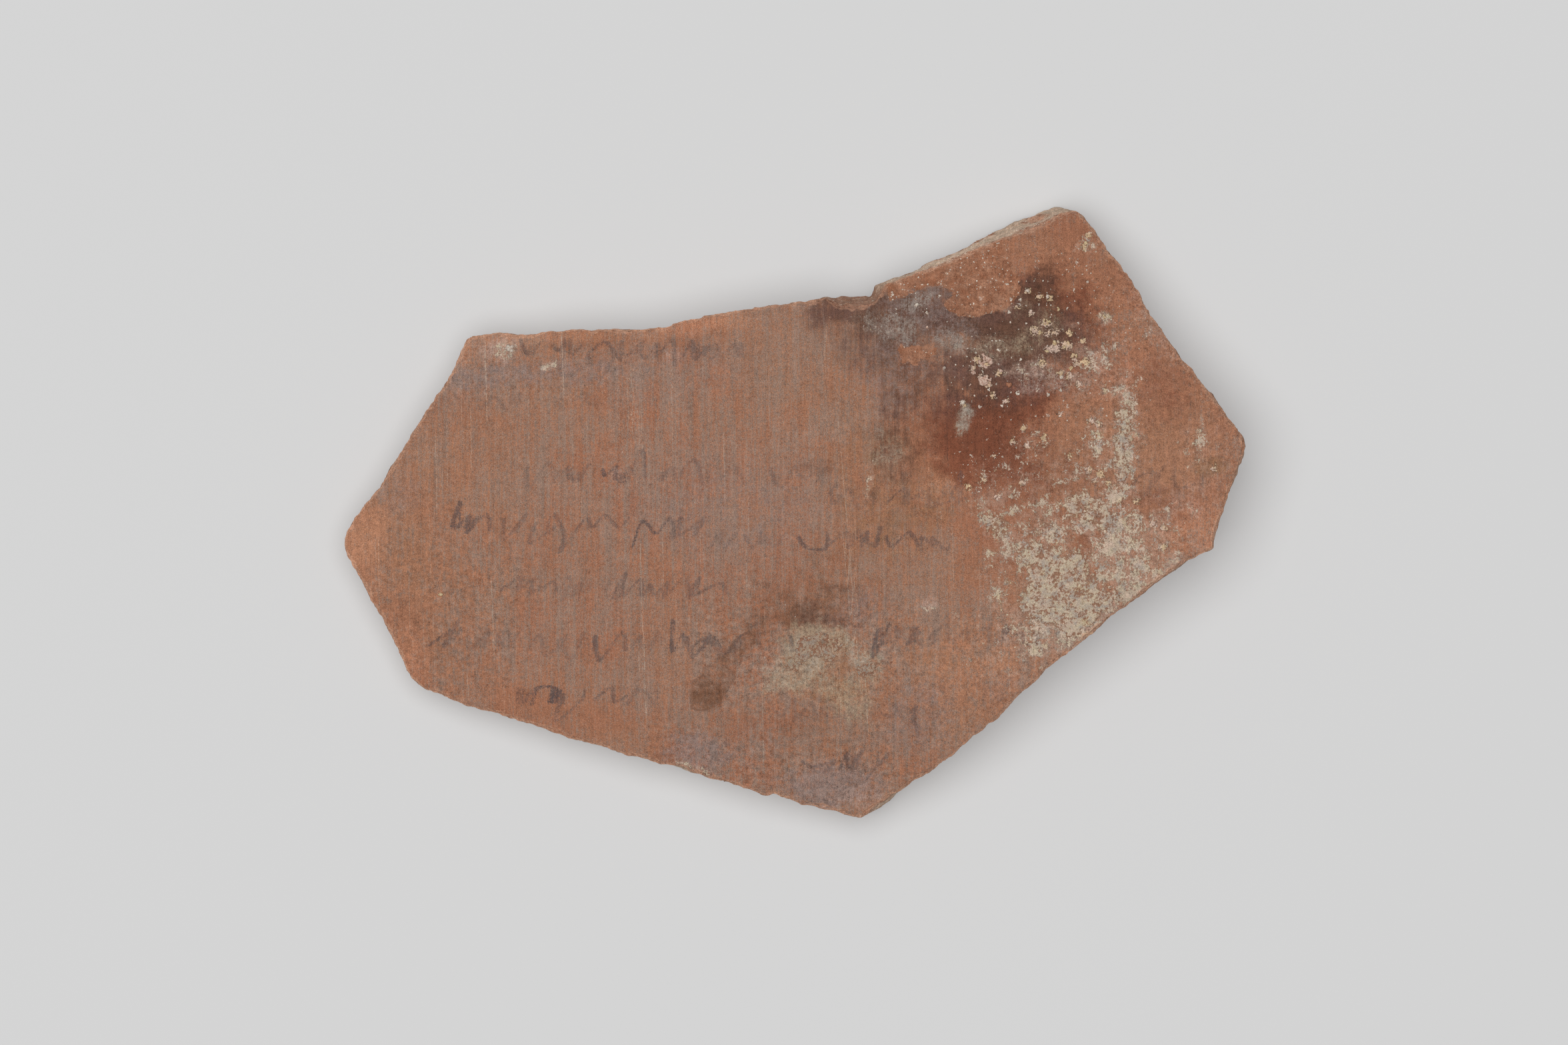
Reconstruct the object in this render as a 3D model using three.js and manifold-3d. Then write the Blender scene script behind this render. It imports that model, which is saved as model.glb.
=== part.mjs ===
// An ostracon: a broken piece of a wheel-thrown jar wall, kept because it was written on.
// It lies with its outer, written face up. Lime from the ground still sticks to that face.
// Millimetres. +X runs along the jar's axis, +Y across it and +Z up, with the origin below the middle.

import * as THREE from 'three';
import { mergeVertices } from 'three/addons/utils/BufferGeometryUtils.js';
import { ConvexHull } from 'three/addons/math/ConvexHull.js';
import { ImprovedNoise } from 'three/addons/math/ImprovedNoise.js';
import Module from 'manifold-3d';

// The fragment, seen from above
const sherdLength = 140;
const sherdWidth = 96;

// The jar wall that it broke from
const jarRadius = 120;
const bellyRadius = 500;
const wallThickness = 8;
const taperDepth = 0.9;
const rillPitch = 10.5;
const rillDepth = 0.4;

// The break all round
const breakStep = 1.9;
const hackleDepth = 0.34;
const hackleSize = 4.2;
const edgeWear = 0.4;
const restWear = 0.35;

// Places where the face has flaked away
const spallDepth = 0.42;
const smallSpallDepth = 0.25;

// Lime that grew on the face in the ground
const crustThickness = 0.3;
const crustStep = 1.5;
const crustWaver = 0.3;
const noduleWidth = 2.3;
const depositGap = 0.05;

// How far a cutting shape runs past what it cuts
const overrun = 2;

// Facets: counts only
const outerFacets = 180;
const innerFacets = 96;
const wallSteps = 26;
const stepsPerRill = 8;
const settlingTurns = 8;
const plumbTurns = 12;
const wayOutSteps = 3;
const spotSides = 9;
const broadLumpDetail = 2;
const smallLumpDetail = 1;

// Share of a hackle that still shows at the two arrises
const arrisShare = 0.3;

// Depths of the middle rings of the break, as shares of the wall
const breakDepthShares = [0.22, 0.42, 0.62, 0.82];

// Corners of the face's outline, anticlockwise from the left tip: place along the length, place across
// the width, and how far the break leans outwards for its depth
const outlineShares = [
  [0.000, 0.446, 0.10], [0.002, 0.424, 0.10], [0.010, 0.405, 0.10], [0.046, 0.307, 0.08],
  [0.063, 0.259, 0.08], [0.074, 0.227, 0.08], [0.083, 0.215, 0.08], [0.106, 0.199, 0.06],
  [0.139, 0.182, 0.06], [0.194, 0.157, 0.06], [0.283, 0.116, 0.06], [0.340, 0.090, 0.12],
  [0.365, 0.085, 0.36], [0.378, 0.083, 0.42], [0.387, 0.075, 0.36], [0.404, 0.064, 0.12],
  [0.449, 0.046, 0.08], [0.470, 0.039, 0.10], [0.480, 0.040, 0.10], [0.510, 0.023, 0.10],
  [0.546, 0.012, 0.12], [0.573, 0.000, 0.30], [0.584, 0.013, 0.42], [0.598, 0.030, 0.42],
  [0.615, 0.043, 0.20], [0.661, 0.086, 0.06], [0.695, 0.129, 0.05], [0.727, 0.165, 0.06],
  [0.746, 0.199, 0.06], [0.772, 0.228, 0.05], [0.783, 0.249, 0.05], [0.811, 0.277, 0.05],
  [0.848, 0.324, 0.05], [0.888, 0.369, 0.05], [0.936, 0.421, 0.08], [0.951, 0.434, 0.10],
  [0.964, 0.440, 0.10], [0.965, 0.457, 0.08], [0.974, 0.497, 0.08], [0.989, 0.559, 0.08],
  [0.998, 0.590, 0.05], [1.000, 0.606, 0.05], [0.998, 0.622, 0.05], [0.977, 0.661, 0.02],
  [0.947, 0.717, 0.02], [0.901, 0.809, 0.05], [0.890, 0.837, 0.05], [0.870, 0.885, 0.04],
  [0.843, 0.939, 0.06], [0.834, 0.959, 0.06], [0.824, 0.977, 0.18], [0.812, 0.989, 0.36],
  [0.797, 0.982, 0.63], [0.773, 0.965, 0.62], [0.741, 0.945, 0.61], [0.695, 0.919, 0.48],
  [0.652, 0.894, 0.41], [0.637, 0.886, 0.35], [0.602, 0.868, 0.38], [0.592, 0.842, 0.36],
  [0.583, 0.832, 0.52], [0.552, 0.829, 0.53], [0.535, 0.845, 0.30], [0.498, 0.840, 0.10],
  [0.408, 0.821, 0.10], [0.368, 0.805, 0.10], [0.357, 0.800, 0.10], [0.317, 0.796, 0.12],
  [0.260, 0.796, 0.10], [0.193, 0.789, 0.10], [0.141, 0.788, 0.10], [0.134, 0.783, 0.10],
  [0.123, 0.735, 0.08], [0.098, 0.685, 0.06], [0.071, 0.618, 0.06], [0.036, 0.537, 0.08],
  [0.011, 0.488, 0.10], [0.001, 0.466, 0.10],
];

// Edges of the flaked places, along the length and across the width
const spallShares = [
  [0.598, 0.881], [0.604, 0.841], [0.618, 0.848], [0.632, 0.854], [0.649, 0.867], [0.663, 0.866],
  [0.675, 0.858], [0.677, 0.851], [0.669, 0.841], [0.664, 0.834], [0.670, 0.825], [0.681, 0.818],
  [0.693, 0.815], [0.712, 0.819], [0.730, 0.826], [0.744, 0.841], [0.750, 0.856], [0.749, 0.881],
  [0.742, 0.903], [0.737, 0.928], [0.728, 0.968], [0.654, 0.930], [0.609, 0.903],
];
const smallSpallShares = [
  [0.613, 0.763], [0.618, 0.770], [0.633, 0.770], [0.647, 0.772], [0.655, 0.768], [0.661, 0.757],
  [0.656, 0.746], [0.643, 0.745], [0.630, 0.739], [0.617, 0.746],
];

// Edges of the crust patches, clockwise, along the length and across the width
const crustShares = {
  main: [
    [0.746, 0.437], [0.761, 0.452], [0.778, 0.449], [0.797, 0.437], [0.820, 0.430], [0.831, 0.395],
    [0.840, 0.374], [0.857, 0.378], [0.865, 0.358], [0.845, 0.337], [0.826, 0.308], [0.803, 0.294],
    [0.786, 0.317], [0.763, 0.324], [0.746, 0.342], [0.755, 0.374], [0.758, 0.408],
  ],
  upper: [
    [0.800, 0.528], [0.826, 0.536], [0.845, 0.515], [0.857, 0.486], [0.851, 0.462], [0.831, 0.474],
    [0.811, 0.482], [0.797, 0.498],
  ],
  column: [
    [0.858, 0.662], [0.870, 0.664], [0.874, 0.638], [0.869, 0.616], [0.864, 0.595], [0.870, 0.568],
    [0.869, 0.535], [0.860, 0.544], [0.854, 0.573], [0.856, 0.605], [0.858, 0.632],
  ],
  left: [[0.710, 0.491], [0.732, 0.498], [0.746, 0.474], [0.735, 0.453], [0.718, 0.457]],
  middle: [[0.755, 0.471], [0.775, 0.491], [0.790, 0.482], [0.788, 0.463], [0.769, 0.462]],
  lower: [
    [0.506, 0.301], [0.529, 0.307], [0.550, 0.296], [0.555, 0.276], [0.541, 0.255], [0.520, 0.262],
    [0.510, 0.249], [0.496, 0.235], [0.486, 0.249], [0.496, 0.269],
  ],
  corner: [
    [0.567, 0.253], [0.580, 0.259], [0.591, 0.249], [0.589, 0.230], [0.576, 0.227], [0.567, 0.238],
  ],
};

// Bare spots in the crust: middle along and across, and radius for the crust's step
const bareSpotShares = {
  main: [[0.795, 0.403, 0.5], [0.770, 0.392, 0.36], [0.812, 0.345, 0.4]],
  lower: [[0.540, 0.279, 0.34]],
};

// Nodules: middle along and across, and width for the widest one
const noduleShares = [
  { place: [0.710, 0.743], width: 1.00, lobes: 3 },
  { place: [0.711, 0.711], width: 0.90, lobes: 3 },
  { place: [0.699, 0.724], width: 0.45, lobes: 1 },
  { place: [0.686, 0.676], width: 0.45, lobes: 2 },
  { place: [0.780, 0.806], width: 0.66, lobes: 2 },
  { place: [0.773, 0.789], width: 0.42, lobes: 1 },
  { place: [0.789, 0.772], width: 0.56, lobes: 2 },
  { place: [0.799, 0.766], width: 0.36, lobes: 1 },
  { place: [0.780, 0.758], width: 0.40, lobes: 1 },
  { place: [0.759, 0.857], width: 0.45, lobes: 1 },
  { place: [0.781, 0.848], width: 0.36, lobes: 1 },
  { place: [0.793, 0.828], width: 0.36, lobes: 1 },
  { place: [0.807, 0.731], width: 0.40, lobes: 1 },
  { place: [0.813, 0.751], width: 0.36, lobes: 1 },
  { place: [0.844, 0.815], width: 0.36, lobes: 1 },
  { place: [0.824, 0.935], width: 0.34, lobes: 1 },
  { place: [0.748, 0.691], width: 0.40, lobes: 1 },
  { place: [0.729, 0.728], width: 0.40, lobes: 1 },
  { place: [0.738, 0.705], width: 0.52, lobes: 2 },
  { place: [0.695, 0.704], width: 0.32, lobes: 1 },
  { place: [0.636, 0.834], width: 0.42, lobes: 1 },
  { place: [0.647, 0.821], width: 0.32, lobes: 1 },
  { place: [0.647, 0.798], width: 0.30, lobes: 1 },
  { place: [0.796, 0.717], width: 0.36, lobes: 1 },
  { place: [0.781, 0.688], width: 0.32, lobes: 1 },
  { place: [0.795, 0.696], width: 0.32, lobes: 1 },
  { place: [0.183, 0.765], width: 0.70, lobes: 2 },
  { place: [0.106, 0.365], width: 0.42, lobes: 1 },
];
const noduleRiseShare = 0.42;
const noduleLumpShare = 0.3;
const lumpNoiseShare = 0.6;
const lobeSpreadShare = 0.3;
const lobeWidthShare = 0.72;
const lesserLobeShare = 0.85;

// Turn from one nodule to the next, in radians, and the step between their noise seeds
const noduleTurn = 2.4;
const noduleSeedStep = 3.7;

// Share of the plan over which a bare spot's edge swells and shrinks
const spotNoiseShare = 0.7;

const clay = new THREE.MeshStandardMaterial({ color: 0x98705f, roughness: 0.9, metalness: 0 });
const crustLime = new THREE.MeshStandardMaterial({ color: 0xb9a48e, roughness: 0.95, metalness: 0 });
const noduleLime = new THREE.MeshStandardMaterial({ color: 0xc2ab97, roughness: 0.85, metalness: 0 });

const wasm = await Module();
wasm.setup();
const noise = new ImprovedNoise();
const up = new THREE.Vector3(0, 0, 1);

// Meshes and solids

/** Joins equal points and leaves out the triangles that this closes up. */
function weld(geometry) {
  const bare = geometry.clone();
  bare.deleteAttribute('normal');
  bare.deleteAttribute('uv');
  const welded = mergeVertices(bare);
  const corners = welded.index.array;
  const kept = [];
  const cornersPerFace = 3;
  for (let at = 0; at < corners.length; at += cornersPerFace) {
    const [a, b, c] = corners.slice(at, at + cornersPerFace);
    if (a !== b && b !== c && c !== a) kept.push(a, b, c);
  }
  welded.setIndex(kept);
  return welded;
}

function solidFrom(geometry) {
  const welded = weld(geometry);
  const mesh = new wasm.Mesh({
    numProp: 3,
    vertProperties: new Float32Array(welded.attributes.position.array),
    triVerts: new Uint32Array(welded.index.array),
  });
  return new wasm.Manifold(mesh);
}

function meshFrom(solid, name, material) {
  const { vertProperties, triVerts } = solid.getMesh();
  const geometry = new THREE.BufferGeometry();
  geometry.setAttribute('position', new THREE.BufferAttribute(vertProperties, 3));
  geometry.setIndex(new THREE.BufferAttribute(triVerts, 1));
  geometry.computeVertexNormals();
  const mesh = new THREE.Mesh(geometry, material);
  mesh.name = name;
  return mesh;
}

// The jar wall, with the jar's axis on X

function outerRadius(along) {
  return jarRadius - bellyRadius + Math.sqrt(bellyRadius ** 2 - along ** 2);
}

/** The wall, a little thicker towards one end, with the potter's finger rills inside. */
function innerRadius(along) {
  const turn = (2 * Math.PI * along) / rillPitch;
  const wander = Math.sin(turn / 3);
  const rill = (rillDepth / 2) * Math.sin(turn + wander);
  return outerRadius(along) - wallThickness - (taperDepth * along) / sherdLength + rill;
}

/** A solid turned on the jar's axis, laid as the jar lies, long enough to pass the fragment's ends. */
function turned(radiusAt, steps, facets, pose) {
  const reach = sherdLength / 2 + wallThickness + overrun;
  const profile = [new THREE.Vector2(0, -reach)];
  for (let step = 0; step <= steps; step += 1) {
    const along = reach * ((2 * step) / steps - 1);
    profile.push(new THREE.Vector2(radiusAt(along), along));
  }
  profile.push(new THREE.Vector2(0, reach));
  const lathe = new THREE.LatheGeometry(profile, facets);
  lathe.rotateZ(-Math.PI / 2);
  return solidFrom(lathe.applyMatrix4(pose));
}

/** The jar's outer face, raised or lowered by a small amount. */
function faceSolid(pose, rise) {
  return turned((along) => outerRadius(along) + rise, wallSteps, outerFacets, pose);
}

function innerSolid(pose) {
  const steps = Math.round((stepsPerRill * sherdLength) / rillPitch);
  return turned(innerRadius, steps, innerFacets, pose);
}

// Places on the face

function planPoint([alongShare, acrossShare]) {
  return new THREE.Vector2((alongShare - 0.5) * sherdLength, (acrossShare - 0.5) * sherdWidth);
}

/** Where a plumb line through a place in plan meets the jar's outer face, and the way the face looks. */
function facePoint(plan, pose) {
  const toJar = pose.clone().invert();
  const point = new THREE.Vector3(plan.x, plan.y, 0);
  const inJar = new THREE.Vector3();
  for (let turn = 0; turn < plumbTurns; turn += 1) {
    inJar.copy(point).applyMatrix4(toJar);
    const radius = Math.hypot(inJar.y, inJar.z);
    point.z -= ((radius - outerRadius(inJar.x)) * radius) / inJar.z;
  }
  const slope = inJar.x / Math.sqrt(bellyRadius ** 2 - inJar.x ** 2);
  const radius = Math.hypot(inJar.y, inJar.z);
  const normal = new THREE.Vector3(slope, inJar.y / radius, inJar.z / radius).normalize();
  return { point, normal: normal.transformDirection(pose) };
}

/** A closed line of short steps through the corners of an outline. */
function steppedLine(corners, stepLength) {
  const line = [];
  corners.forEach((corner, index) => {
    const next = corners[(index + 1) % corners.length];
    const steps = Math.max(1, Math.round(corner.plan.distanceTo(next.plan) / stepLength));
    for (let step = 0; step < steps; step += 1) {
      const plan = corner.plan.clone().lerp(next.plan, step / steps);
      line.push({ plan, lean: THREE.MathUtils.lerp(corner.lean, next.lean, step / steps) });
    }
  });
  return line;
}

/** Adds to each place on a closed line the way out of it, taken over a few steps each side. */
function withWayOut(line) {
  return line.map((place, index) => {
    const ahead = line[(index + wayOutSteps) % line.length].plan;
    const behind = line[(index - wayOutSteps + line.length) % line.length].plan;
    const along = ahead.clone().sub(behind).normalize();
    return { ...place, wayOut: new THREE.Vector3(along.y, -along.x, 0) };
  });
}

function uneven(point, size) {
  return noise.noise(point.x / size, point.y / size, point.z / size);
}

// The break

const outline = withWayOut(steppedLine(
  outlineShares.map((corner) => ({ plan: planPoint(corner), lean: corner[2] })),
  breakStep,
));

/** Depths below the face, the inset there and the share of the hackles, from above to below. */
function breakRings() {
  const inner = wallThickness;
  return [
    { depth: -overrun, inset: edgeWear, share: arrisShare },
    { depth: 0, inset: edgeWear, share: arrisShare },
    { depth: edgeWear, inset: 0, share: arrisShare },
    ...breakDepthShares.map((share) => ({ depth: share * inner, inset: 0, share: 1 })),
    { depth: inner - edgeWear, inset: 0, share: 1 },
    { depth: inner, inset: edgeWear, share: arrisShare },
    { depth: inner + overrun, inset: edgeWear, share: arrisShare },
  ];
}

function breakRing(pose, ring) {
  return outline.map((place) => {
    const { point, normal } = facePoint(place.plan, pose);
    const wayOut = place.wayOut.clone().addScaledVector(normal, -place.wayOut.dot(normal)).normalize();
    const below = point.clone().addScaledVector(normal, -ring.depth);
    const broad = uneven(below, hackleSize * 2);
    const fine = uneven(below, hackleSize);
    const hackle = hackleDepth * (broad + fine) * ring.share;
    const lean = place.lean * Math.max(ring.depth, 0);
    return below.addScaledVector(wayOut, lean - ring.inset + hackle);
  });
}

/** A closed skin over rings of points that run from above to below, with flat ends. */
function lofted(rings) {
  const count = rings[0].length;
  const corners = [];
  for (let ring = 0; ring + 1 < rings.length; ring += 1) {
    for (let at = 0; at < count; at += 1) {
      const next = (at + 1) % count;
      const upper = ring * count;
      const lower = upper + count;
      corners.push(upper + at, lower + at, lower + next, upper + at, lower + next, upper + next);
    }
  }
  const flat = (ring) => THREE.ShapeUtils.triangulateShape(
    ring.map((point) => new THREE.Vector2(point.x, point.y)),
    [],
  );
  const last = (rings.length - 1) * count;
  flat(rings[0]).forEach(([a, b, c]) => corners.push(a, b, c));
  flat(rings.at(-1)).forEach(([a, b, c]) => corners.push(last + c, last + b, last + a));
  const geometry = new THREE.BufferGeometry().setFromPoints(rings.flat());
  geometry.setIndex(corners);
  return geometry;
}

function levelRing(ring, height) {
  return ring.map((point) => new THREE.Vector3(point.x, point.y, height));
}

/** Everything inside the break, from above the face to below the inner face. */
function breakSolid(pose) {
  const rings = breakRings().map((ring) => breakRing(pose, ring));
  const top = Math.max(...rings[0].map((point) => point.z)) + overrun;
  const bottom = Math.min(...rings.at(-1).map((point) => point.z)) - overrun;
  const ends = [levelRing(rings[0], top), ...rings, levelRing(rings.at(-1), bottom)];
  return solidFrom(lofted(ends));
}

// How the fragment lies on a table

/** The middle of the plan, by area. */
function planCentre() {
  const centre = new THREE.Vector2();
  let area = 0;
  outline.forEach(({ plan }, index) => {
    const next = outline[(index + 1) % outline.length].plan;
    const part = plan.cross(next);
    area += part;
    centre.add(plan.clone().add(next).multiplyScalar(part / 3));
  });
  return centre.divideScalar(area);
}

/** The three-point footing under the middle: the hull face that a plumb line from there meets. */
function footing(pose, centre) {
  const lowerEdge = breakRings().slice(-3, -1).flatMap((ring) => breakRing(pose, ring));
  const heightAt = (face) => {
    const drop = face.normal.x * centre.x + face.normal.y * centre.y - face.constant;
    return -drop / face.normal.z;
  };
  const downward = new ConvexHull().setFromPoints(lowerEdge).faces.filter((face) => face.normal.z < 0);
  return downward.reduce((best, face) => (heightAt(face) > heightAt(best) ? face : best));
}

/** The jar's place when the fragment stands on its own lower edge, worn flat where it stands. */
function restingPose() {
  const centre = planCentre();
  let pose = new THREE.Matrix4().makeTranslation(0, 0, -jarRadius);
  for (let turn = 0; turn < settlingTurns; turn += 1) {
    const { normal, constant } = footing(pose, centre);
    const tilt = new THREE.Quaternion().setFromUnitVectors(normal.clone().negate(), up);
    const level = new THREE.Matrix4().makeRotationFromQuaternion(tilt);
    pose = new THREE.Matrix4().makeTranslation(0, 0, constant - restWear).multiply(level).multiply(pose);
  }
  return pose;
}

// Cutting shapes in plan

/** A plumb prism over a line in plan, through the whole wall. */
function prism(line, bareSpots = []) {
  const shape = new THREE.Shape(line);
  shape.holes = bareSpots.map((spot) => new THREE.Path(spot));
  const depth = jarRadius;
  const geometry = new THREE.ExtrudeGeometry(shape, { depth, bevelEnabled: false, steps: 1 });
  return solidFrom(geometry.translate(0, 0, -depth / 2));
}

/** An outline in plan that wavers in and out as it goes. */
function waveredLine(shares) {
  const corners = shares.map((corner) => ({ plan: planPoint(corner), lean: 0 }));
  return withWayOut(steppedLine(corners, crustStep)).map(({ plan, wayOut }) => {
    const inOut = crustWaver * 2 * noise.noise(plan.x / crustStep, plan.y / crustStep, 0);
    return new THREE.Vector2(plan.x + wayOut.x * inOut, plan.y + wayOut.y * inOut);
  });
}

function bareSpot([along, across, radiusShare]) {
  const centre = planPoint([along, across]);
  return Array.from({ length: spotSides }, (_, side) => {
    const angle = (2 * Math.PI * side) / spotSides;
    const swell = noise.noise(along / spotNoiseShare, across / spotNoiseShare, side / spotNoiseShare);
    const radius = crustStep * radiusShare * (1 + swell);
    return new THREE.Vector2(centre.x + radius * Math.cos(angle), centre.y + radius * Math.sin(angle));
  });
}

// The pieces

/** What is cut from the face where it has flaked, down to an even depth. */
function spallCut(shares, depth, pose) {
  return prism(shares.map(planPoint)).subtract(faceSolid(pose, -depth));
}

function sherdSolid(pose) {
  const below = new THREE.BoxGeometry(sherdLength * 2, sherdWidth * 2, jarRadius);
  below.translate(0, 0, -jarRadius / 2);
  return faceSolid(pose, 0)
    .intersect(breakSolid(pose))
    .subtract(innerSolid(pose))
    .subtract(spallCut(spallShares, spallDepth, pose))
    .subtract(spallCut(smallSpallShares, smallSpallDepth, pose))
    .subtract(solidFrom(below));
}

/** A thin patch of crust that follows the face, just clear of it. */
function crustSolid(name, pose) {
  const spots = (bareSpotShares[name] ?? []).map(bareSpot);
  return prism(waveredLine(crustShares[name]), spots)
    .intersect(faceSolid(pose, crustThickness))
    .subtract(faceSolid(pose, depositGap));
}

/** One lump of a nodule: a squashed ball with an uneven skin, sunk by half into the face. */
function lumpGeometry(width, seed) {
  const detail = width > noduleWidth / 2 ? broadLumpDetail : smallLumpDetail;
  const ball = weld(new THREE.IcosahedronGeometry(1, detail));
  const points = ball.attributes.position;
  const point = new THREE.Vector3();
  for (let at = 0; at < points.count; at += 1) {
    point.fromBufferAttribute(points, at);
    const spot = point.clone().divideScalar(lumpNoiseShare);
    const bulge = 1 + noduleLumpShare * noise.noise(spot.x + seed, spot.y, spot.z);
    points.setXYZ(at, point.x * bulge, point.y * bulge, point.z * bulge);
  }
  return ball.scale(width / 2, width / 2, width * noduleRiseShare);
}

function noduleSolid({ place, width, lobes }, number, pose) {
  const { point, normal } = facePoint(planPoint(place), pose);
  const turn = new THREE.Quaternion().setFromUnitVectors(up, normal);
  const seat = new THREE.Matrix4().compose(point, turn, new THREE.Vector3(1, 1, 1));
  const wide = noduleWidth * width;
  const lumps = Array.from({ length: lobes }, (_, lobe) => {
    const angle = number * noduleTurn + (2 * Math.PI * lobe) / lobes;
    const spread = lobes > 1 ? wide * lobeSpreadShare : 0;
    const size = lobes > 1 ? wide * lobeWidthShare : wide;
    const lump = lumpGeometry(lobe > 0 ? size * lesserLobeShare : size, number * noduleSeedStep + lobe);
    lump.translate(spread * Math.cos(angle), spread * Math.sin(angle), 0);
    return solidFrom(lump.applyMatrix4(seat));
  });
  return lumps.reduce((all, lump) => all.add(lump)).subtract(faceSolid(pose, depositGap));
}

// The whole object

const pose = restingPose();
const ostracon = new THREE.Group();
ostracon.add(meshFrom(sherdSolid(pose), 'sherd', clay));
Object.keys(crustShares).forEach((name) => {
  ostracon.add(meshFrom(crustSolid(name, pose), `lime_crust_${name}`, crustLime));
});
noduleShares.forEach((nodule, index) => {
  const label = String(index + 1).padStart(2, '0');
  ostracon.add(meshFrom(noduleSolid(nodule, index, pose), `lime_nodule_${label}`, noduleLime));
});

// The origin goes below the middle of the whole, on the table
const box = new THREE.Box3().setFromObject(ostracon, true);
const middle = box.getCenter(new THREE.Vector3());
ostracon.position.set(-middle.x, -middle.y, -box.min.z);

export default ostracon;
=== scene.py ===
"""Dresses an ostracon: a piece of jar wall with faded pen marks and lime from the ground on its face.

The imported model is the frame. The clay gets a finer skin with real relief, and the places of its
stains, films and pen marks are laid on that skin as attributes, which the finishes then read. Each
patch of crust and each nodule is modelled anew where its solid is.
"""

from __future__ import annotations

import logging
import math
import random
from dataclasses import dataclass
from enum import Enum
from typing import Iterable, Sequence

import bmesh
import bpy
import numpy as np
from mathutils import Matrix, Vector, kdtree, noise
from mathutils.bvhtree import BVHTree

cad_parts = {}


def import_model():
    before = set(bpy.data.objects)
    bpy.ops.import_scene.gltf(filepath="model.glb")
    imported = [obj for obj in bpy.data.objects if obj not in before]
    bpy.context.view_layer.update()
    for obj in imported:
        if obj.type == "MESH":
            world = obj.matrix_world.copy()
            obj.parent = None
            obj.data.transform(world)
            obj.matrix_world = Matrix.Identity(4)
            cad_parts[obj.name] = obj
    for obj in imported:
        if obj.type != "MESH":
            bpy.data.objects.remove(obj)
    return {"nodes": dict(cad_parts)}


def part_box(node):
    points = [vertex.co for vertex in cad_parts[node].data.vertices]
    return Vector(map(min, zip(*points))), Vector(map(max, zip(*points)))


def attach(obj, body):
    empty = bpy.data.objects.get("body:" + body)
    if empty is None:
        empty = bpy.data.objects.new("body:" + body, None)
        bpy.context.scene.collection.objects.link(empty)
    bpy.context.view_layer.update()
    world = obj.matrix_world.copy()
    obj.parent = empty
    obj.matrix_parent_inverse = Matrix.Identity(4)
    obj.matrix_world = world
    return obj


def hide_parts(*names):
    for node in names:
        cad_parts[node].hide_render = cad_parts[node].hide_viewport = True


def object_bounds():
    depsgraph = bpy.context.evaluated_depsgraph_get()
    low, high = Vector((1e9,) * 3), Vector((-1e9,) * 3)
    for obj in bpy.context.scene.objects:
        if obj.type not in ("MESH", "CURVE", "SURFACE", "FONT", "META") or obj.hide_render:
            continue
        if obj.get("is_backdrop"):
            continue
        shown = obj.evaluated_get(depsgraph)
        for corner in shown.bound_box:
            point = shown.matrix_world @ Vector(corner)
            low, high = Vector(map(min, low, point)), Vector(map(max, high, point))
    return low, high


log = logging.getLogger("ostracon")

MM = 0.001
BODY = "root"
TURNING_LEAN = -0.022

Spot = tuple[float, float]
Span = tuple[float, float]
Colour = tuple[float, float, float]
Mesh = bpy.types.Mesh
Material = bpy.types.Material
Piece = bpy.types.Object
Skin = bmesh.types.BMesh
Socket = bpy.types.NodeSocket
Value = float | Colour | Socket


def linear(*screen: int) -> Colour:
    """Turns a colour as it shows on a screen, in 0 to 255, into the linear one that shaders take."""
    shares = [value / 255 for value in screen]
    return tuple(share / 12.92 if share <= 0.04045 else ((share + 0.055) / 1.055) ** 2.4 for share in shares)


def smooth_step(low: float, high: float, value: np.ndarray) -> np.ndarray:
    """Rises smoothly from 0 at low to 1 at high, or falls if low is above high."""
    share = np.clip((value - low) / (high - low), 0.0, 1.0)
    return share * share * (3.0 - 2.0 * share)


def uneven(points: np.ndarray, size: float, seed: float = 0.0) -> np.ndarray:
    """Returns smooth noise of about -1 to 1 at each point.

    Args:
        points: Places in metres, three numbers each.
        size: Distance over which the noise changes, in metres.
        seed: Shifts the pattern, so that two uses differ.
    """
    shift = Vector((seed * 7.31, seed * 3.77, seed * 5.19))
    return np.array([noise.noise(Vector(point) + shift) for point in (points / size).tolist()])


def layered(points: np.ndarray, sizes: Sequence[float], gains: Sequence[float], seed: float) -> np.ndarray:
    """Returns the sum of several sizes of noise, each with its own strength and a seed of its own.

    Args:
        points: Places in metres.
        sizes: Sizes of the noise, in metres.
        gains: Strength of each.
        seed: Shifts the pattern.

    Returns:
        One number a point.
    """
    total = np.zeros(len(points))
    for number, (size, gain) in enumerate(zip(sizes, gains)):
        total += gain * uneven(points, size, seed + number)
    return total


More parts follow.
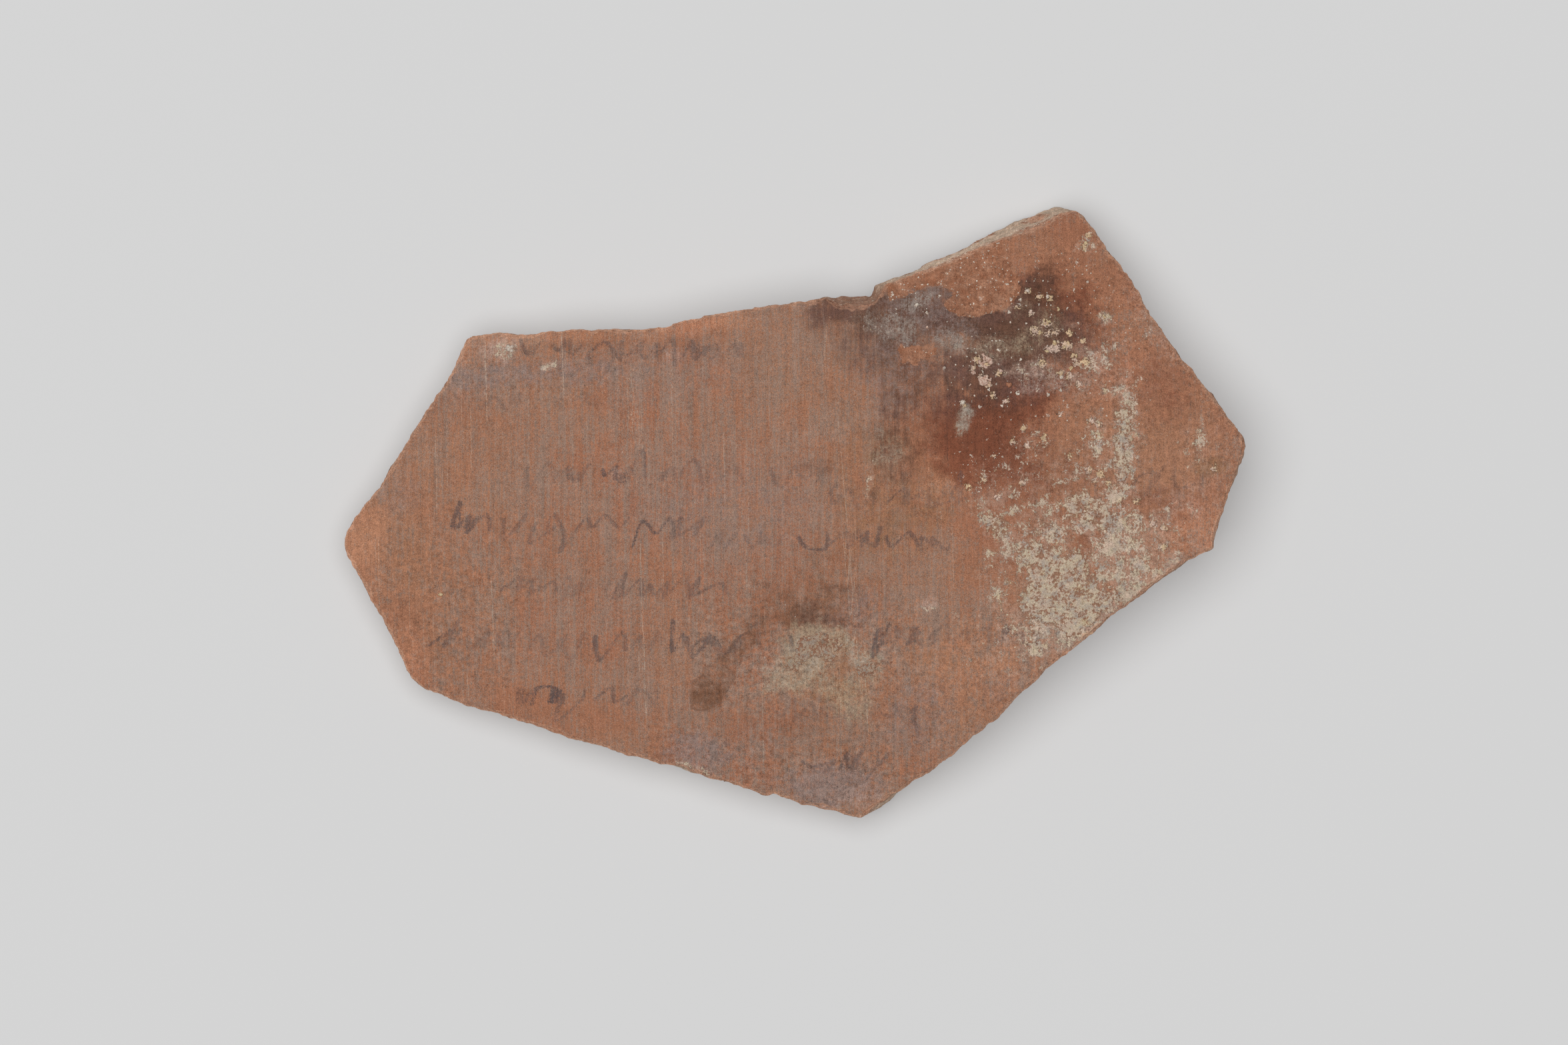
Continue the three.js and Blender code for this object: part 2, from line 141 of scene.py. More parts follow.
@dataclass(frozen=True)
class PhotoPlan:
    """Ties the photograph's pixels to the model's plan, in metres.

    Attributes:
        low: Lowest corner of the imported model.
        high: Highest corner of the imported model.
    """

    low: Vector
    high: Vector
    left_px: float = 517.5
    right_px: float = 1867.0
    top_px: float = 305.0
    bottom_px: float = 1230.0
    width_px: float = 2352.0
    height_px: float = 1568.0

    @property
    def pixel(self) -> float:
        """Metres for one pixel."""
        return (self.high.x - self.low.x) / (self.right_px - self.left_px)

    @property
    def pixel_mm(self) -> float:
        """Millimetres for one pixel."""
        return self.pixel / MM

    @property
    def middle(self) -> Spot:
        """The pixel over the middle of the model."""
        return (self.left_px + self.right_px) / 2, (self.top_px + self.bottom_px) / 2

    def spot(self, across_px: float, down_px: float) -> Spot:
        """Returns the place in plan under a pixel.

        Args:
            across_px: How far across the photograph.
            down_px: How far down it.

        Returns:
            The place, in metres.
        """
        middle_x, middle_y = self.middle
        x = (self.low.x + self.high.x) / 2 + (across_px - middle_x) * self.pixel
        y = (self.low.y + self.high.y) / 2 - (down_px - middle_y) * self.pixel
        return x, y

    def pixels(self, points: np.ndarray) -> np.ndarray:
        """Returns the pixel over each point, as two columns.

        Args:
            points: Places in metres.

        Returns:
            One row a point.
        """
        middle_x, middle_y = self.middle
        across = (points[:, 0] - (self.low.x + self.high.x) / 2) / self.pixel + middle_x
        down = middle_y - (points[:, 1] - (self.low.y + self.high.y) / 2) / self.pixel
        return np.column_stack((across, down))


class Layer(Enum):
    """What a blot on the face is made of. The value is the attribute that holds it."""

    DARK = "stain_dark"
    CRIMSON = "stain_crimson"
    BROWN = "stain_brown"
    OCHRE = "tint_ochre"
    GREY = "film_grey"
    LILAC = "film_lilac"
    PALE = "film_pale"
    OLIVE = "film_olive"
    HAZE = "lime_haze"
    GRAINS = "lime_grains"
    BARE = "wash_bare"
    CREAM = "lime_cream"
    MOTTLE = "mottled"
    CORE = "core_shown"
    LIGHT = "worn_light"


@dataclass(frozen=True)
class Blot:
    """A soft or hard edged oval on the face, by the photograph's pixels.

    Attributes:
        middle_px: Its middle, across and down.
        reach_px: Half its width and half its height.
        turn: How far it is turned clockwise, in degrees.
        load: How strong it is in its middle, 0 to 1.
        soft_share: Share of its radius over which it fades.
    """

    middle_px: Spot
    reach_px: Spot
    turn: float
    load: float
    soft_share: float = 1.0

    def cover(self, pixels: np.ndarray, swing: np.ndarray) -> np.ndarray:
        """Returns how strongly the blot covers each place, with its radius swinging by shares of it.

        Args:
            pixels: Places by the photograph's pixels.
            swing: How far the edge swings at each place.

        Returns:
            The cover, 0 to 1.
        """
        angle = math.radians(self.turn)
        shift = pixels - np.array(self.middle_px)
        along = shift[:, 0] * math.cos(angle) + shift[:, 1] * math.sin(angle)
        across = shift[:, 1] * math.cos(angle) - shift[:, 0] * math.sin(angle)
        radius = np.hypot(along / self.reach_px[0], across / self.reach_px[1]) + swing
        return self.load * smooth_step(1.0 + self.soft_share / 2, 1.0 - self.soft_share / 2, radius)


@dataclass(frozen=True)
class Outline:
    """A closed line on the face, by the photograph's pixels."""

    corners: tuple[Spot, ...]

    def depth_inside(self, pixels: np.ndarray) -> np.ndarray:
        """Returns how many pixels each place lies inside the line, negative outside it.

        Args:
            pixels: Places by the photograph's pixels.

        Returns:
            One number a place.
        """
        nearest = np.full(len(pixels), np.inf)
        inside = np.zeros(len(pixels), dtype=bool)
        for start, end in zip(self.corners, self.corners[1:] + self.corners[:1]):
            first = np.array(start)
            along = np.array(end) - first
            shift = pixels - first
            share = np.clip(shift @ along / (along @ along), 0.0, 1.0)
            gap = np.hypot(*(shift - share[:, None] * along).T)
            nearest = np.minimum(nearest, gap)
            crosses = (start[1] > pixels[:, 1]) != (end[1] > pixels[:, 1])
            rise = end[1] - start[1] or 1e-9
            meets = start[0] + (pixels[:, 1] - start[1]) * (end[0] - start[0]) / rise
            inside ^= crosses & (pixels[:, 0] < meets)
        return np.where(inside, nearest, -nearest)


SPALL = Outline((
    (1325, 415), (1333, 452), (1352, 446), (1370, 440), (1393, 428), (1412, 429), (1428, 436),
    (1431, 443), (1420, 452), (1413, 459), (1422, 467), (1436, 473), (1453, 476), (1478, 472),
    (1503, 466), (1522, 452), (1530, 438), (1528, 415), (1519, 395), (1512, 372), (1500, 330),
    (1400, 365), (1340, 390),
))
SMALL_SPALL = Outline((
    (1345, 526), (1351, 518), (1360, 522), (1371, 517), (1383, 521), (1394, 516), (1404, 522),
    (1408, 532), (1398, 536), (1393, 543), (1381, 539), (1372, 548), (1361, 544), (1352, 545),
    (1350, 536),
))
BROWN_STAIN = Outline((
    (1036, 1064), (1033, 1038), (1038, 1022), (1050, 1014), (1056, 1000), (1070, 996), (1078, 984),
    (1092, 978), (1098, 964), (1112, 952), (1124, 946), (1134, 954), (1130, 968), (1116, 978),
    (1114, 992), (1102, 1002), (1104, 1018), (1096, 1030), (1086, 1044), (1080, 1056), (1062, 1066),
    (1046, 1068),
))

# Blots by what they are made of and how far their edges swing, as a share of their radius. Each row is
# the middle across and down, half the width and half the height, the turn, the load and the softness
BLOT_ROWS = {
    (Layer.DARK, 0.35): (
        (1490, 487, 104, 22, 2, 0.92, 0.7), (1550, 450, 34, 44, 25, 0.86, 0.8),
        (1600, 505, 40, 34, 30, 0.46, 0.9), (1560, 505, 50, 34, 0, 0.6, 0.9),
        (1576, 405, 12, 22, 0, 0.3), (1480, 545, 80, 48, -20, 0.8, 0.9),
        (1530, 575, 70, 40, -15, 0.5, 0.9), (1385, 455, 62, 22, -14, 0.75, 0.7),
        (1345, 490, 50, 44, 0, 0.7), (1360, 570, 58, 60, 10, 0.52), (1290, 500, 60, 50, -25, 0.42, 1.2),
        (1222, 478, 20, 18, 0, 0.35), (1290, 455, 56, 20, -5, 0.6, 0.9), (1240, 462, 40, 18, 0, 0.4),
        (1432, 610, 30, 30, 20, 0.4), (1340, 676, 36, 44, 0, 0.44, 1.1),
        (1332, 640, 26, 40, 0, 0.26, 1.1), (1376, 716, 34, 14, 0, 0.22), (1500, 540, 40, 26, 0, 0.4),
        (1420, 516, 26, 18, 0, 0.36), (1590, 480, 30, 40, 20, 0.3), (1228, 700, 30, 12, 10, 0.3),
        (1206, 914, 22, 16, -30, 0.4), (1262, 882, 34, 8, 0, 0.3), (1296, 906, 8, 28, 0, 0.3),
        (1283, 936, 18, 8, 0, 0.26), (1150, 890, 8, 26, 0, 0.22),
    ),
    (Layer.BROWN, 0.35): (
        (1240, 1090, 60, 30, 0, 0.16, 1.1), (1385, 1000, 30, 24, 0, 0.14, 1.1),
        (1120, 960, 60, 24, -42, 0.34), (1160, 915, 56, 38, -30, 0.34, 1.1),
        (1205, 905, 46, 30, 0, 0.3, 1.1), (1265, 905, 34, 28, 0, 0.26),
        (1064, 1044, 25, 22, -20, 0.66, 0.6), (1230, 860, 90, 40, 0, 0.18, 1.1),
        (1215, 925, 50, 20, 0, 0.4, 0.8), (640, 880, 70, 90, -10, 0.15, 1.2),
        (650, 985, 70, 34, 20, 0.18, 1.2), (1150, 1090, 110, 50, 10, 0.2, 1.2),
    ),
    (Layer.CRIMSON, 0.35): (
        (1530, 600, 66, 34, -15, 0.85, 0.9), (1455, 655, 66, 66, 0, 0.85, 0.9),
        (1500, 700, 66, 40, 30, 0.4), (1556, 445, 64, 44, 10, 0.55),
        (1618, 488, 45, 60, -30, 0.52, 1.1), (1570, 690, 70, 60, 0, 0.35, 1.2),
        (1590, 790, 130, 100, -15, 0.32), (1560, 930, 70, 50, -20, 0.24),
        (1500, 662, 34, 34, 0, 0.4, 1.1), (1580, 560, 50, 40, 0, 0.36, 1.1),
        (1740, 590, 60, 60, 40, 0.35, 1.2), (1640, 400, 50, 60, 20, 0.22, 1.2),
        (1750, 755, 46, 30, 10, 0.34, 1.1), (1380, 600, 60, 60, 10, 0.3, 1.1),
        (1340, 1090, 90, 45, -30, 0.12, 1.2),
    ),
    (Layer.OCHRE, 0.35): (
        (1350, 720, 100, 90, 0, 0.4, 1.2), (1290, 850, 90, 80, 0, 0.22, 1.2),
        (820, 505, 120, 16, -2, 0.25), (1480, 505, 60, 34, 0, 0.45), (1560, 495, 50, 40, 0, 0.4),
        (1430, 980, 70, 40, -30, 0.2, 1.1), (1812, 702, 30, 14, -10, 0.7),
        (1240, 1000, 70, 60, 0, 0.45),
    ),
    (Layer.GREY, 0.5): (
        (1340, 492, 40, 22, 20, 0.52), (1375, 452, 26, 14, -20, 0.42), (1432, 515, 32, 18, 10, 0.46),
        (1490, 530, 44, 26, -10, 0.16), (1400, 555, 60, 20, 10, 0.1), (1318, 650, 10, 14, 0, 0.22),
        (1245, 985, 50, 40, 0, 0.22), (1304, 985, 30, 40, 20, 0.24), (1180, 1000, 50, 40, 0, 0.25),
        (1590, 575, 60, 26, 10, 0.22),
    ),
    (Layer.GREY, 0.6): (
        (1337, 682, 18, 14, 0, 0.16, 1.1),
    ),
    (Layer.OLIVE, 0.6): (
        (1330, 670, 26, 30, 0, 0.3, 1.1),
    ),
    (Layer.GREY, 0.4): (
        (1447, 630, 11, 20, 15, 0.62, 0.9), (1762, 846, 20, 12, -40, 0.6),
    ),
    (Layer.DARK, 0.5): (
        (1235, 935, 36, 12, -6, 0.5),
    ),
    (Layer.OLIVE, 0.5): (
        (1484, 524, 40, 20, -12, 0.36), (1540, 512, 24, 18, -30, 0.4), (1532, 463, 22, 15, -40, 0.22),
        (1575, 482, 22, 24, 0, 0.3), (1198, 1010, 48, 34, -30, 0.66), (1302, 992, 20, 26, 0, 0.5),
        (1276, 1050, 34, 40, 20, 0.5, 1.1), (1590, 880, 70, 66, 0, 0.5, 1.1),
    ),
    (Layer.OLIVE, 0.4): (
        (1226, 968, 48, 32, 0, 0.72, 0.9), (1445, 632, 12, 20, 15, 0.5),
    ),
    (Layer.LILAC, 0.35): (
        (780, 562, 150, 20, -2, 0.48, 1.1), (690, 575, 60, 30, 0, 0.25, 1.1),
        (990, 560, 150, 50, -5, 0.2, 1.2), (600, 740, 40, 30, 0, 0.25, 1.2),
        (1100, 760, 140, 80, 0, 0.28, 1.3), (1245, 1178, 80, 34, -4, 0.8, 1.1),
        (1045, 1130, 50, 28, 10, 0.7), (1120, 1120, 60, 40, 0, 0.2, 1.2),
        (1290, 915, 50, 30, -20, 0.34, 1.1), (1500, 1030, 34, 26, -45, 0.24),
        (1640, 930, 70, 26, -38, 0.55), (1700, 420, 18, 50, -30, 0.14),
        (1375, 1070, 50, 60, 20, 0.35, 1.2), (1375, 450, 60, 24, -14, 0.5),
        (1420, 490, 50, 24, 10, 0.42), (1340, 560, 50, 60, 0, 0.35, 1.1),
        (1562, 572, 34, 20, -10, 0.36),
    ),
    (Layer.PALE, 0.5): (
        (1700, 560, 70, 50, 30, 0.12, 1.1), (1810, 690, 50, 70, 0, 0.16, 1.1),
        (1735, 470, 26, 60, -28, 0.26), (1600, 540, 50, 34, 0, 0.12), (1690, 740, 70, 100, 0, 0.1, 1.1),
        (1768, 770, 50, 50, 0, 0.1, 1.1), (750, 524, 30, 18, 0, 0.45), (1010, 533, 12, 12, 0, 0.35),
    ),
    (Layer.PALE, 0.6): (
        (1556, 572, 38, 28, 0, 0.24),
    ),
    (Layer.HAZE, 0.35): (
        (822, 550, 18, 8, -12, 0.85, 0.8), (1394, 908, 12, 10, 0, 0.5),
    ),
    (Layer.PALE, 0.35): (
        (1394, 903, 12, 10, 0, 0.55), (925, 712, 7, 9, 20, 0.5), (1290, 1200, 34, 20, 0, 0.35),
    ),
    (Layer.HAZE, 0.5): (
        (1600, 850, 124, 108, -15, 0.52, 1.1), (1610, 900, 60, 50, -15, 0.34),
        (1560, 780, 90, 50, -10, 0.45), (1600, 700, 80, 46, 20, 0.48), (1680, 740, 46, 110, 5, 0.38),
        (1664, 838, 44, 40, 0, 0.4), (1662, 520, 13, 34, 25, 0.54, 0.8),
        (1632, 531, 28, 9, 20, 0.36, 0.8), (1655, 566, 50, 40, 20, 0.46), (1700, 610, 44, 50, 20, 0.22),
        (1702, 880, 36, 32, 0, 0.38), (1515, 690, 60, 50, 0, 0.18, 1.1), (1490, 740, 40, 50, 0, 0.42),
        (1640, 940, 66, 40, -40, 0.55), (1500, 870, 50, 60, 20, 0.26), (1545, 960, 70, 44, -20, 0.46),
        (1735, 820, 50, 60, 20, 0.48), (1630, 365, 18, 16, 30, 0.6, 0.9),
        (1656, 478, 12, 12, 0, 0.7, 0.9), (1575, 505, 60, 44, -20, 0.14),
        (1590, 520, 34, 26, 10, 0.2, 0.9), (1560, 565, 44, 26, 10, 0.38, 0.9),
        (1800, 655, 8, 40, 4, 0.45), (1740, 500, 30, 80, -30, 0.34), (1800, 720, 50, 60, 0, 0.3),
        (1220, 975, 66, 46, -10, 0.16), (1300, 1000, 30, 26, 0, 0.2, 0.9),
        (1260, 1040, 50, 30, 20, 0.2), (1030, 1150, 34, 9, 16, 0.6, 0.9),
        (1470, 1000, 40, 40, -40, 0.34), (1330, 490, 36, 20, 20, 0.3), (1440, 512, 30, 20, 0, 0.3),
        (760, 524, 22, 15, 0, 0.8), (1640, 640, 20, 18, 0, 0.5, 0.9), (1585, 962, 44, 20, -20, 0.42),
        (1560, 742, 50, 26, 0, 0.16), (1495, 915, 26, 20, 0, 0.4),
    ),
    (Layer.HAZE, 0.4): (
        (1686, 660, 17, 64, 3, 0.58, 0.9), (1304, 725, 6, 34, 14, 0.62), (1370, 370, 120, 12, -23, 0.3),
    ),
    (Layer.HAZE, 0.6): (
        (1556, 572, 40, 30, 0, 0.24),
    ),
    (Layer.GRAINS, 0.35): (
        (1420, 415, 120, 50, -18, 0.95, 0.6), (1560, 460, 80, 60, 10, 0.8, 0.9),
        (1500, 560, 90, 60, 0, 0.8, 0.9), (1600, 420, 60, 60, 0, 0.5),
        (1500, 690, 70, 60, 0, 0.55, 0.9), (1390, 470, 40, 30, 0, 0.5, 0.9),
        (1700, 480, 50, 60, 0, 0.4), (1640, 620, 90, 60, 0, 0.5),
    ),
    (Layer.MOTTLE, 0.35): (
        (1720, 640, 200, 260, 20, 0.75, 0.8), (1560, 520, 160, 150, 0, 1, 0.8),
        (1500, 1000, 160, 90, -40, 0.8, 0.9), (1250, 1160, 160, 60, 10, 1, 0.9),
        (1240, 990, 160, 120, 0, 0.9, 0.9), (1060, 1130, 110, 40, 16, 0.9, 0.9),
        (660, 930, 130, 140, 0, 0.8, 1.1), (600, 780, 70, 140, 20, 0.4, 1.1),
        (1110, 980, 90, 110, 30, 0.7, 0.9), (1350, 700, 120, 120, 0, 0.5, 1.1),
        (780, 560, 190, 44, 0, 0.6),
    ),
    # Lighter patches of wear; the narrow strips along the top edges are painted light on the upward-facing
    # top break and its arris
    (Layer.LIGHT, 0.35): (
        (534, 812, 40, 50, 10, 0.62, 1.1), (1430, 995, 50, 44, -30, 0.36, 1.1),
        (1500, 990, 50, 36, -40, 0.24, 1.1), (800, 504, 120, 13, -2, 0.6), (690, 530, 20, 26, 0, 0.5),
        (1045, 487, 80, 13, -8, 0.75), (1800, 800, 40, 36, 0, 0.6), (1440, 381, 46, 12, -23, 0.45),
        (1420, 715, 50, 36, 0, 0.5), (615, 985, 24, 40, -30, 0.5),
    ),
    # The pale band along the top-right break is partly the core's colour and partly painted light on the
    # upward-facing top break
    (Layer.CORE, 0.1): (
        (1470, 354, 170, 34, -23, 1, 0.5),
    ),
    (Layer.CORE, 0.35): (
        (1026, 1158, 60, 24, 16, 0.7, 0.8), (1350, 1208, 50, 30, -20, 0.5, 0.8),
    ),
    (Layer.BARE, 0.35): (
        (1550, 385, 60, 60, 0, 0.7), (1760, 600, 110, 80, 45, 0.85, 1.2), (1620, 410, 80, 76, 20, 1),
        (1600, 640, 90, 90, 0, 0.8), (1600, 800, 150, 130, 0, 0.85), (1440, 640, 90, 90, 0, 0.6),
        (800, 505, 120, 16, -2, 0.24), (1010, 492, 160, 16, -8, 0.2),
        (600, 940, 60, 110, -25, 0.6, 1.2), (640, 760, 60, 160, 10, 0.4, 1.2),
        (880, 1090, 180, 34, 16, 0.5, 1.2), (1400, 1020, 60, 60, 35, 0.35, 1.1),
        (1480, 1030, 40, 60, 40, 0.45, 1.1), (545, 810, 36, 60, 15, 0.8),
        (740, 720, 60, 160, 4, 0.15, 1.2), (1790, 740, 60, 80, 0, 0.75, 1.2),
        (1720, 740, 50, 120, 0, 0.6, 1.2), (1370, 730, 90, 90, 0, 0.35, 1.2),
    ),
}

# Crumbs of lime: middle and radius
CRUMBS = (
    (1569, 485, 8), (1552, 496, 7), (1571, 500, 6), (1584, 499, 5), (1583, 522, 6), (1601, 518, 7),
    (1465, 540, 6), (1478, 547, 6), (1470, 566, 5), (1481, 577, 6), (1490, 593, 5), (1444, 606, 5),
    (1636, 632, 5), (1648, 638, 5), (1632, 705, 6), (1650, 712, 7), (1661, 724, 5), (1641, 722, 5),
    (1820, 703, 5), (1532, 724, 5), (1496, 746, 5), (1704, 752, 5), (1728, 786, 5), (1745, 792, 5),
    (1742, 822, 5), (1634, 352, 5), (1626, 370, 5), (1518, 662, 5), (1540, 668, 5), (1566, 657, 5),
    (1563, 546, 6), (1590, 560, 5), (1604, 564, 6), (1615, 546, 6), (1610, 534, 5), (1628, 543, 6),
    (1575, 448, 5), (1559, 445, 5), (1542, 437, 5), (1525, 461, 5), (1604, 499, 6), (1624, 512, 5),
    (1491, 684, 5), (1474, 720, 5), (1451, 731, 5), (1535, 643, 5), (1590, 621, 5), (1604, 684, 5),
    (1458, 552, 5), (1497, 560, 5), (1508, 602, 5), (1573, 524, 6), (1546, 470, 5), (1618, 577, 5),
)
BLOT_ROWS[Layer.CREAM, 0.3] = tuple(
    (across, down, radius, radius, 0, 1.0, 1.5) for across, down, radius in CRUMBS
)


@dataclass(frozen=True)
class Score:
    """A thin line along the turning of the wheel, by the photograph's pixels, and how strong it is."""

    top: Spot
    foot: Spot
    load: float


def scores(*rows: tuple[float, ...]) -> tuple[Score, ...]:
    """Returns lines from rows of top across and down, foot across and down, and load."""
    return tuple(Score(row[0:2], row[2:4], row[4]) for row in rows)


PALE_SCORES = scores(
    (727, 505, 730, 640, 0.8), (841, 480, 846, 600, 0.6), (946, 540, 949, 660, 0.7),
    (941, 560, 943, 640, 0.5), (652, 640, 655, 780, 0.4), (690, 560, 692, 640, 0.4),
    (736, 860, 741, 1000, 0.7), (960, 800, 964, 960, 0.6), (965, 940, 970, 1090, 0.7),
    (957, 960, 959, 1010, 0.5), (1084, 620, 1088, 760, 0.35), (1143, 1040, 1146, 1160, 0.5),
    (566, 800, 568, 930, 0.4), (612, 860, 614, 960, 0.35), (700, 1010, 702, 1055, 0.4),
    (1256, 620, 1272, 800, 0.5), (1272, 800, 1292, 1060, 0.6), (1262, 780, 1282, 1000, 0.45),
    (1297, 1000, 1303, 1110, 0.5), (1426, 740, 1431, 900, 0.45), (1512, 1000, 1517, 1060, 0.6),
    (1008, 540, 1010, 600, 0.4), (1650, 770, 1656, 880, 0.5),
)
DARK_SCORES = scores(
    (1231, 500, 1243, 620, 0.55), (1243, 620, 1262, 800, 0.45), (1419, 569, 1421, 700, 0.9),
    (1506, 388, 1504, 400, 1.0), (1503, 400, 1508, 418, 1.0), (779, 522, 785, 533, 1.0),
    (1008, 940, 1010, 1020, 0.3), (1340, 540, 1343, 660, 0.3),
)


@dataclass(frozen=True)
class StrayScores:
    """The many faint lines that lie all over the face."""

    seed: int = 7
    count: int = 90
    across_px: Span = (540, 1820)
    down_px: Span = (440, 1150)
    length_px: Span = (30.0, 190.0)
    most: float = 0.34
    load_shares: Span = (0.3, 1.0)

    def lines(self) -> tuple[Score, ...]:
        """Returns the lines.

        Returns:
            The lines, each as strong as chance makes it.
        """
        draw = random.Random(self.seed)
        lines = []
        for _ in range(self.count):
            top = draw.uniform(*self.across_px), draw.uniform(*self.down_px)
            length = draw.uniform(*self.length_px)
            foot = top[0] - TURNING_LEAN * length, top[1] + length
            lines.append(Score(top, foot, self.most * draw.uniform(*self.load_shares)))
        return tuple(lines)


@dataclass(frozen=True)
class Row:
    """One row of pen marks, by the photograph's pixels, and how much of its ink is left."""

    down: float
    start: float
    end: float
    ink: float


@dataclass(frozen=True)
class PenMarks:
    """Faded strokes of a rush pen, in rows. They are made up, form no letters and say nothing.

    Attributes:
        seed: Fixes the strokes.
        pen_px: Half the width of the pen.
        stride_px: How far the hand moves along for each stroke.
        stride_shares: The shares of that stride that it takes.
        gap_shares: Least and greatest gap between two runs of the pen, by the stride.
        turns: Fewest and most turning points in a run.
        drift_px: How far a run lies above or below its row.
        rise_px: Height of a short stroke.
        tall_px: Height of a long one.
        tall_share: How often a stroke is long.
        rise_shares: Least and greatest share of its height that a stroke takes.
        cross_share: How often the pen crosses the row.
        thin_share: Width of a stroke along the row, by the pen's.
        pull_share: What a pull down the row adds to it.
        ink_shares: Least and greatest share of its row's ink that a run has.
        fading_shares: Least and greatest share of that ink that runs out by its end.
        step_px: Distance between the places that stand for a stroke.
        slant_share: How far strokes lean, as a share of their height.
        far_mm: Distance from the ink beyond which nothing is told apart.
    """

    seed: int = 41
    pen_px: float = 3.7
    stride_px: float = 16.0
    stride_shares: tuple[float, ...] = (0.1, 0.4, 0.7, 0.9, 1.2, 1.7, -0.5, -0.3)
    gap_shares: Span = (0.2, 1.3)
    turns: tuple[int, int] = (4, 12)
    drift_px: float = 6.0
    rise_px: float = 27.0
    tall_px: float = 64.0
    tall_share: float = 0.12
    rise_shares: Span = (0.3, 1.1)
    cross_share: float = 0.86
    thin_share: float = 0.62
    pull_share: float = 0.42
    ink_shares: Span = (0.45, 1.25)
    fading_shares: Span = (0.1, 0.6)
    step_px: float = 1.5
    slant_share: float = 0.34
    far_mm: float = 2.0
    rows: tuple[Row, ...] = (
        Row(524, 770, 1080, 0.60), Row(606, 640, 900, 0.26), Row(713, 790, 1210, 0.56),
        Row(742, 1250, 1430, 0.62), Row(790, 690, 1010, 0.64), Row(812, 1060, 1420, 0.62),
        Row(882, 740, 1070, 0.46), Row(962, 640, 1010, 0.64), Row(966, 1040, 1210, 0.56),
        Row(950, 1300, 1560, 0.74), Row(1044, 790, 960, 0.84), Row(1068, 1140, 1420, 0.56),
        Row(1143, 1200, 1310, 0.56), Row(716, 1690, 1800, 0.50),
    )

    def lay(self, pixels: np.ndarray, pixel_mm: float) -> tuple[np.ndarray, np.ndarray]:
        """Measures each place against the nearest pen mark.

        Args:
            pixels: Places by the photograph's pixels.
            pixel_mm: Millimetres for one pixel.

        Returns:
            The distance to the mark's edge in millimetres, negative inside it, and the ink there.
        """
        dots = self._dots()
        tree = search_tree([(across, down, 0.0) for across, down, _, _ in dots])
        edge = np.full(len(pixels), self.far_mm)
        ink = np.zeros(len(pixels))
        for index, (across, down) in enumerate(pixels.tolist()):
            _, nearest, gap = tree.find((across, down, 0.0))
            distance = (gap - dots[nearest][2]) * pixel_mm
            if distance < self.far_mm:
                edge[index] = distance
                ink[index] = dots[nearest][3]
        return edge, ink

    def _dots(self) -> list[tuple[float, float, float, float]]:
        """Returns places along the pen's way, each with the pen's half width and the ink left.

        Returns:
            The dots of all the rows.
        """
        draw = random.Random(self.seed)
        dots: list[tuple[float, float, float, float]] = []
        for row in self.rows:
            across = row.start + draw.uniform(0, self.stride_px)
            while across < row.end:
                way = self._way(draw, across, row)
                dots += self._inked(draw, way, row.ink)
                across = max(spot[0] for spot in way) + self.stride_px * draw.uniform(*self.gap_shares)
        return dots

    def _way(self, draw: random.Random, across: float, row: Row) -> list[Spot]:
        """Returns the turning points of one run of the pen, which starts across a row.

        Args:
            draw: Source of chance.
            across: Where the run starts.
            row: The row that it is on.

        Returns:
            The turning points.
        """
        middle = row.down + draw.uniform(-self.drift_px, self.drift_px)
        side = draw.choice((-1, 1))
        way = []
        for _ in range(draw.randint(*self.turns)):
            rise = self.tall_px if draw.random() < self.tall_share else self.rise_px
            rise *= draw.uniform(*self.rise_shares)
            down = middle + side * rise / 2
            way.append((across + self.slant_share * (middle - down), down))
            across += self.stride_px * draw.choice(self.stride_shares)
            side = -side if draw.random() < self.cross_share else side
        return way

    def _inked(
        self, draw: random.Random, way: list[Spot], ink: float
    ) -> list[tuple[float, float, float, float]]:
        """Rounds the way and gives it the pen's width and its ink.

        Args:
            draw: Source of chance.
            way: Turning points.
            ink: How much ink the row has left.

        Returns:
            Places along the way, with half width and ink.
        """
        fullness = ink * draw.uniform(*self.ink_shares)
        fading = draw.uniform(*self.fading_shares)
        ends = [way[0], *way, way[-1]]
        dots = []
        for number in range(len(way) - 1):
            p0, p1, p2, p3 = ends[number:number + 4]
            length = math.dist(p1, p2)
            pulled = abs(p2[1] - p1[1]) / max(length, 1e-6)
            thick = self.pen_px * (self.thin_share + self.pull_share * pulled * (p2[1] > p1[1]))
            steps = max(2, round(length / self.step_px))
            for step in range(steps):
                t = step / steps
                x, y = (self._round(p0[k], p1[k], p2[k], p3[k], t) for k in (0, 1))
                done = (number + t) / (len(way) - 1)
                dots.append((x, y, thick, fullness * (1.0 - fading * done)))
        return dots

    @staticmethod
    def _round(p0: float, p1: float, p2: float, p3: float, t: float) -> float:
        """Returns the place at t between p1 and p2, on a curve through all four.

        Args:
            p0: Place before the stretch.
            p1: Its start.
            p2: Its end.
            p3: Place after it.
            t: How far along it, 0 to 1.

        Returns:
            The place on one axis.
        """
        return 0.5 * (
            2 * p1 + (p2 - p0) * t + (2 * p0 - 5 * p1 + 4 * p2 - p3) * t**2
            + (3 * p1 - p0 - 3 * p2 + p3) * t**3
        )


def new_object(name: str, mesh: Mesh) -> Piece:
    """Returns an object at the origin that shows the mesh.

    Args:
        name: Its name.
        mesh: Its mesh.

    Returns:
        The object.
    """
    piece = bpy.data.objects.new(name, mesh)
    bpy.context.scene.collection.objects.link(piece)
    return piece


def made_mesh(skin: Skin, name: str) -> Mesh:
    """Returns a new mesh made of the skin, which is let go.

    Args:
        skin: What it is made of.
        name: Its name.

    Returns:
        The mesh.
    """
    mesh = bpy.data.meshes.new(name)
    skin.to_mesh(mesh)
    skin.free()
    return mesh


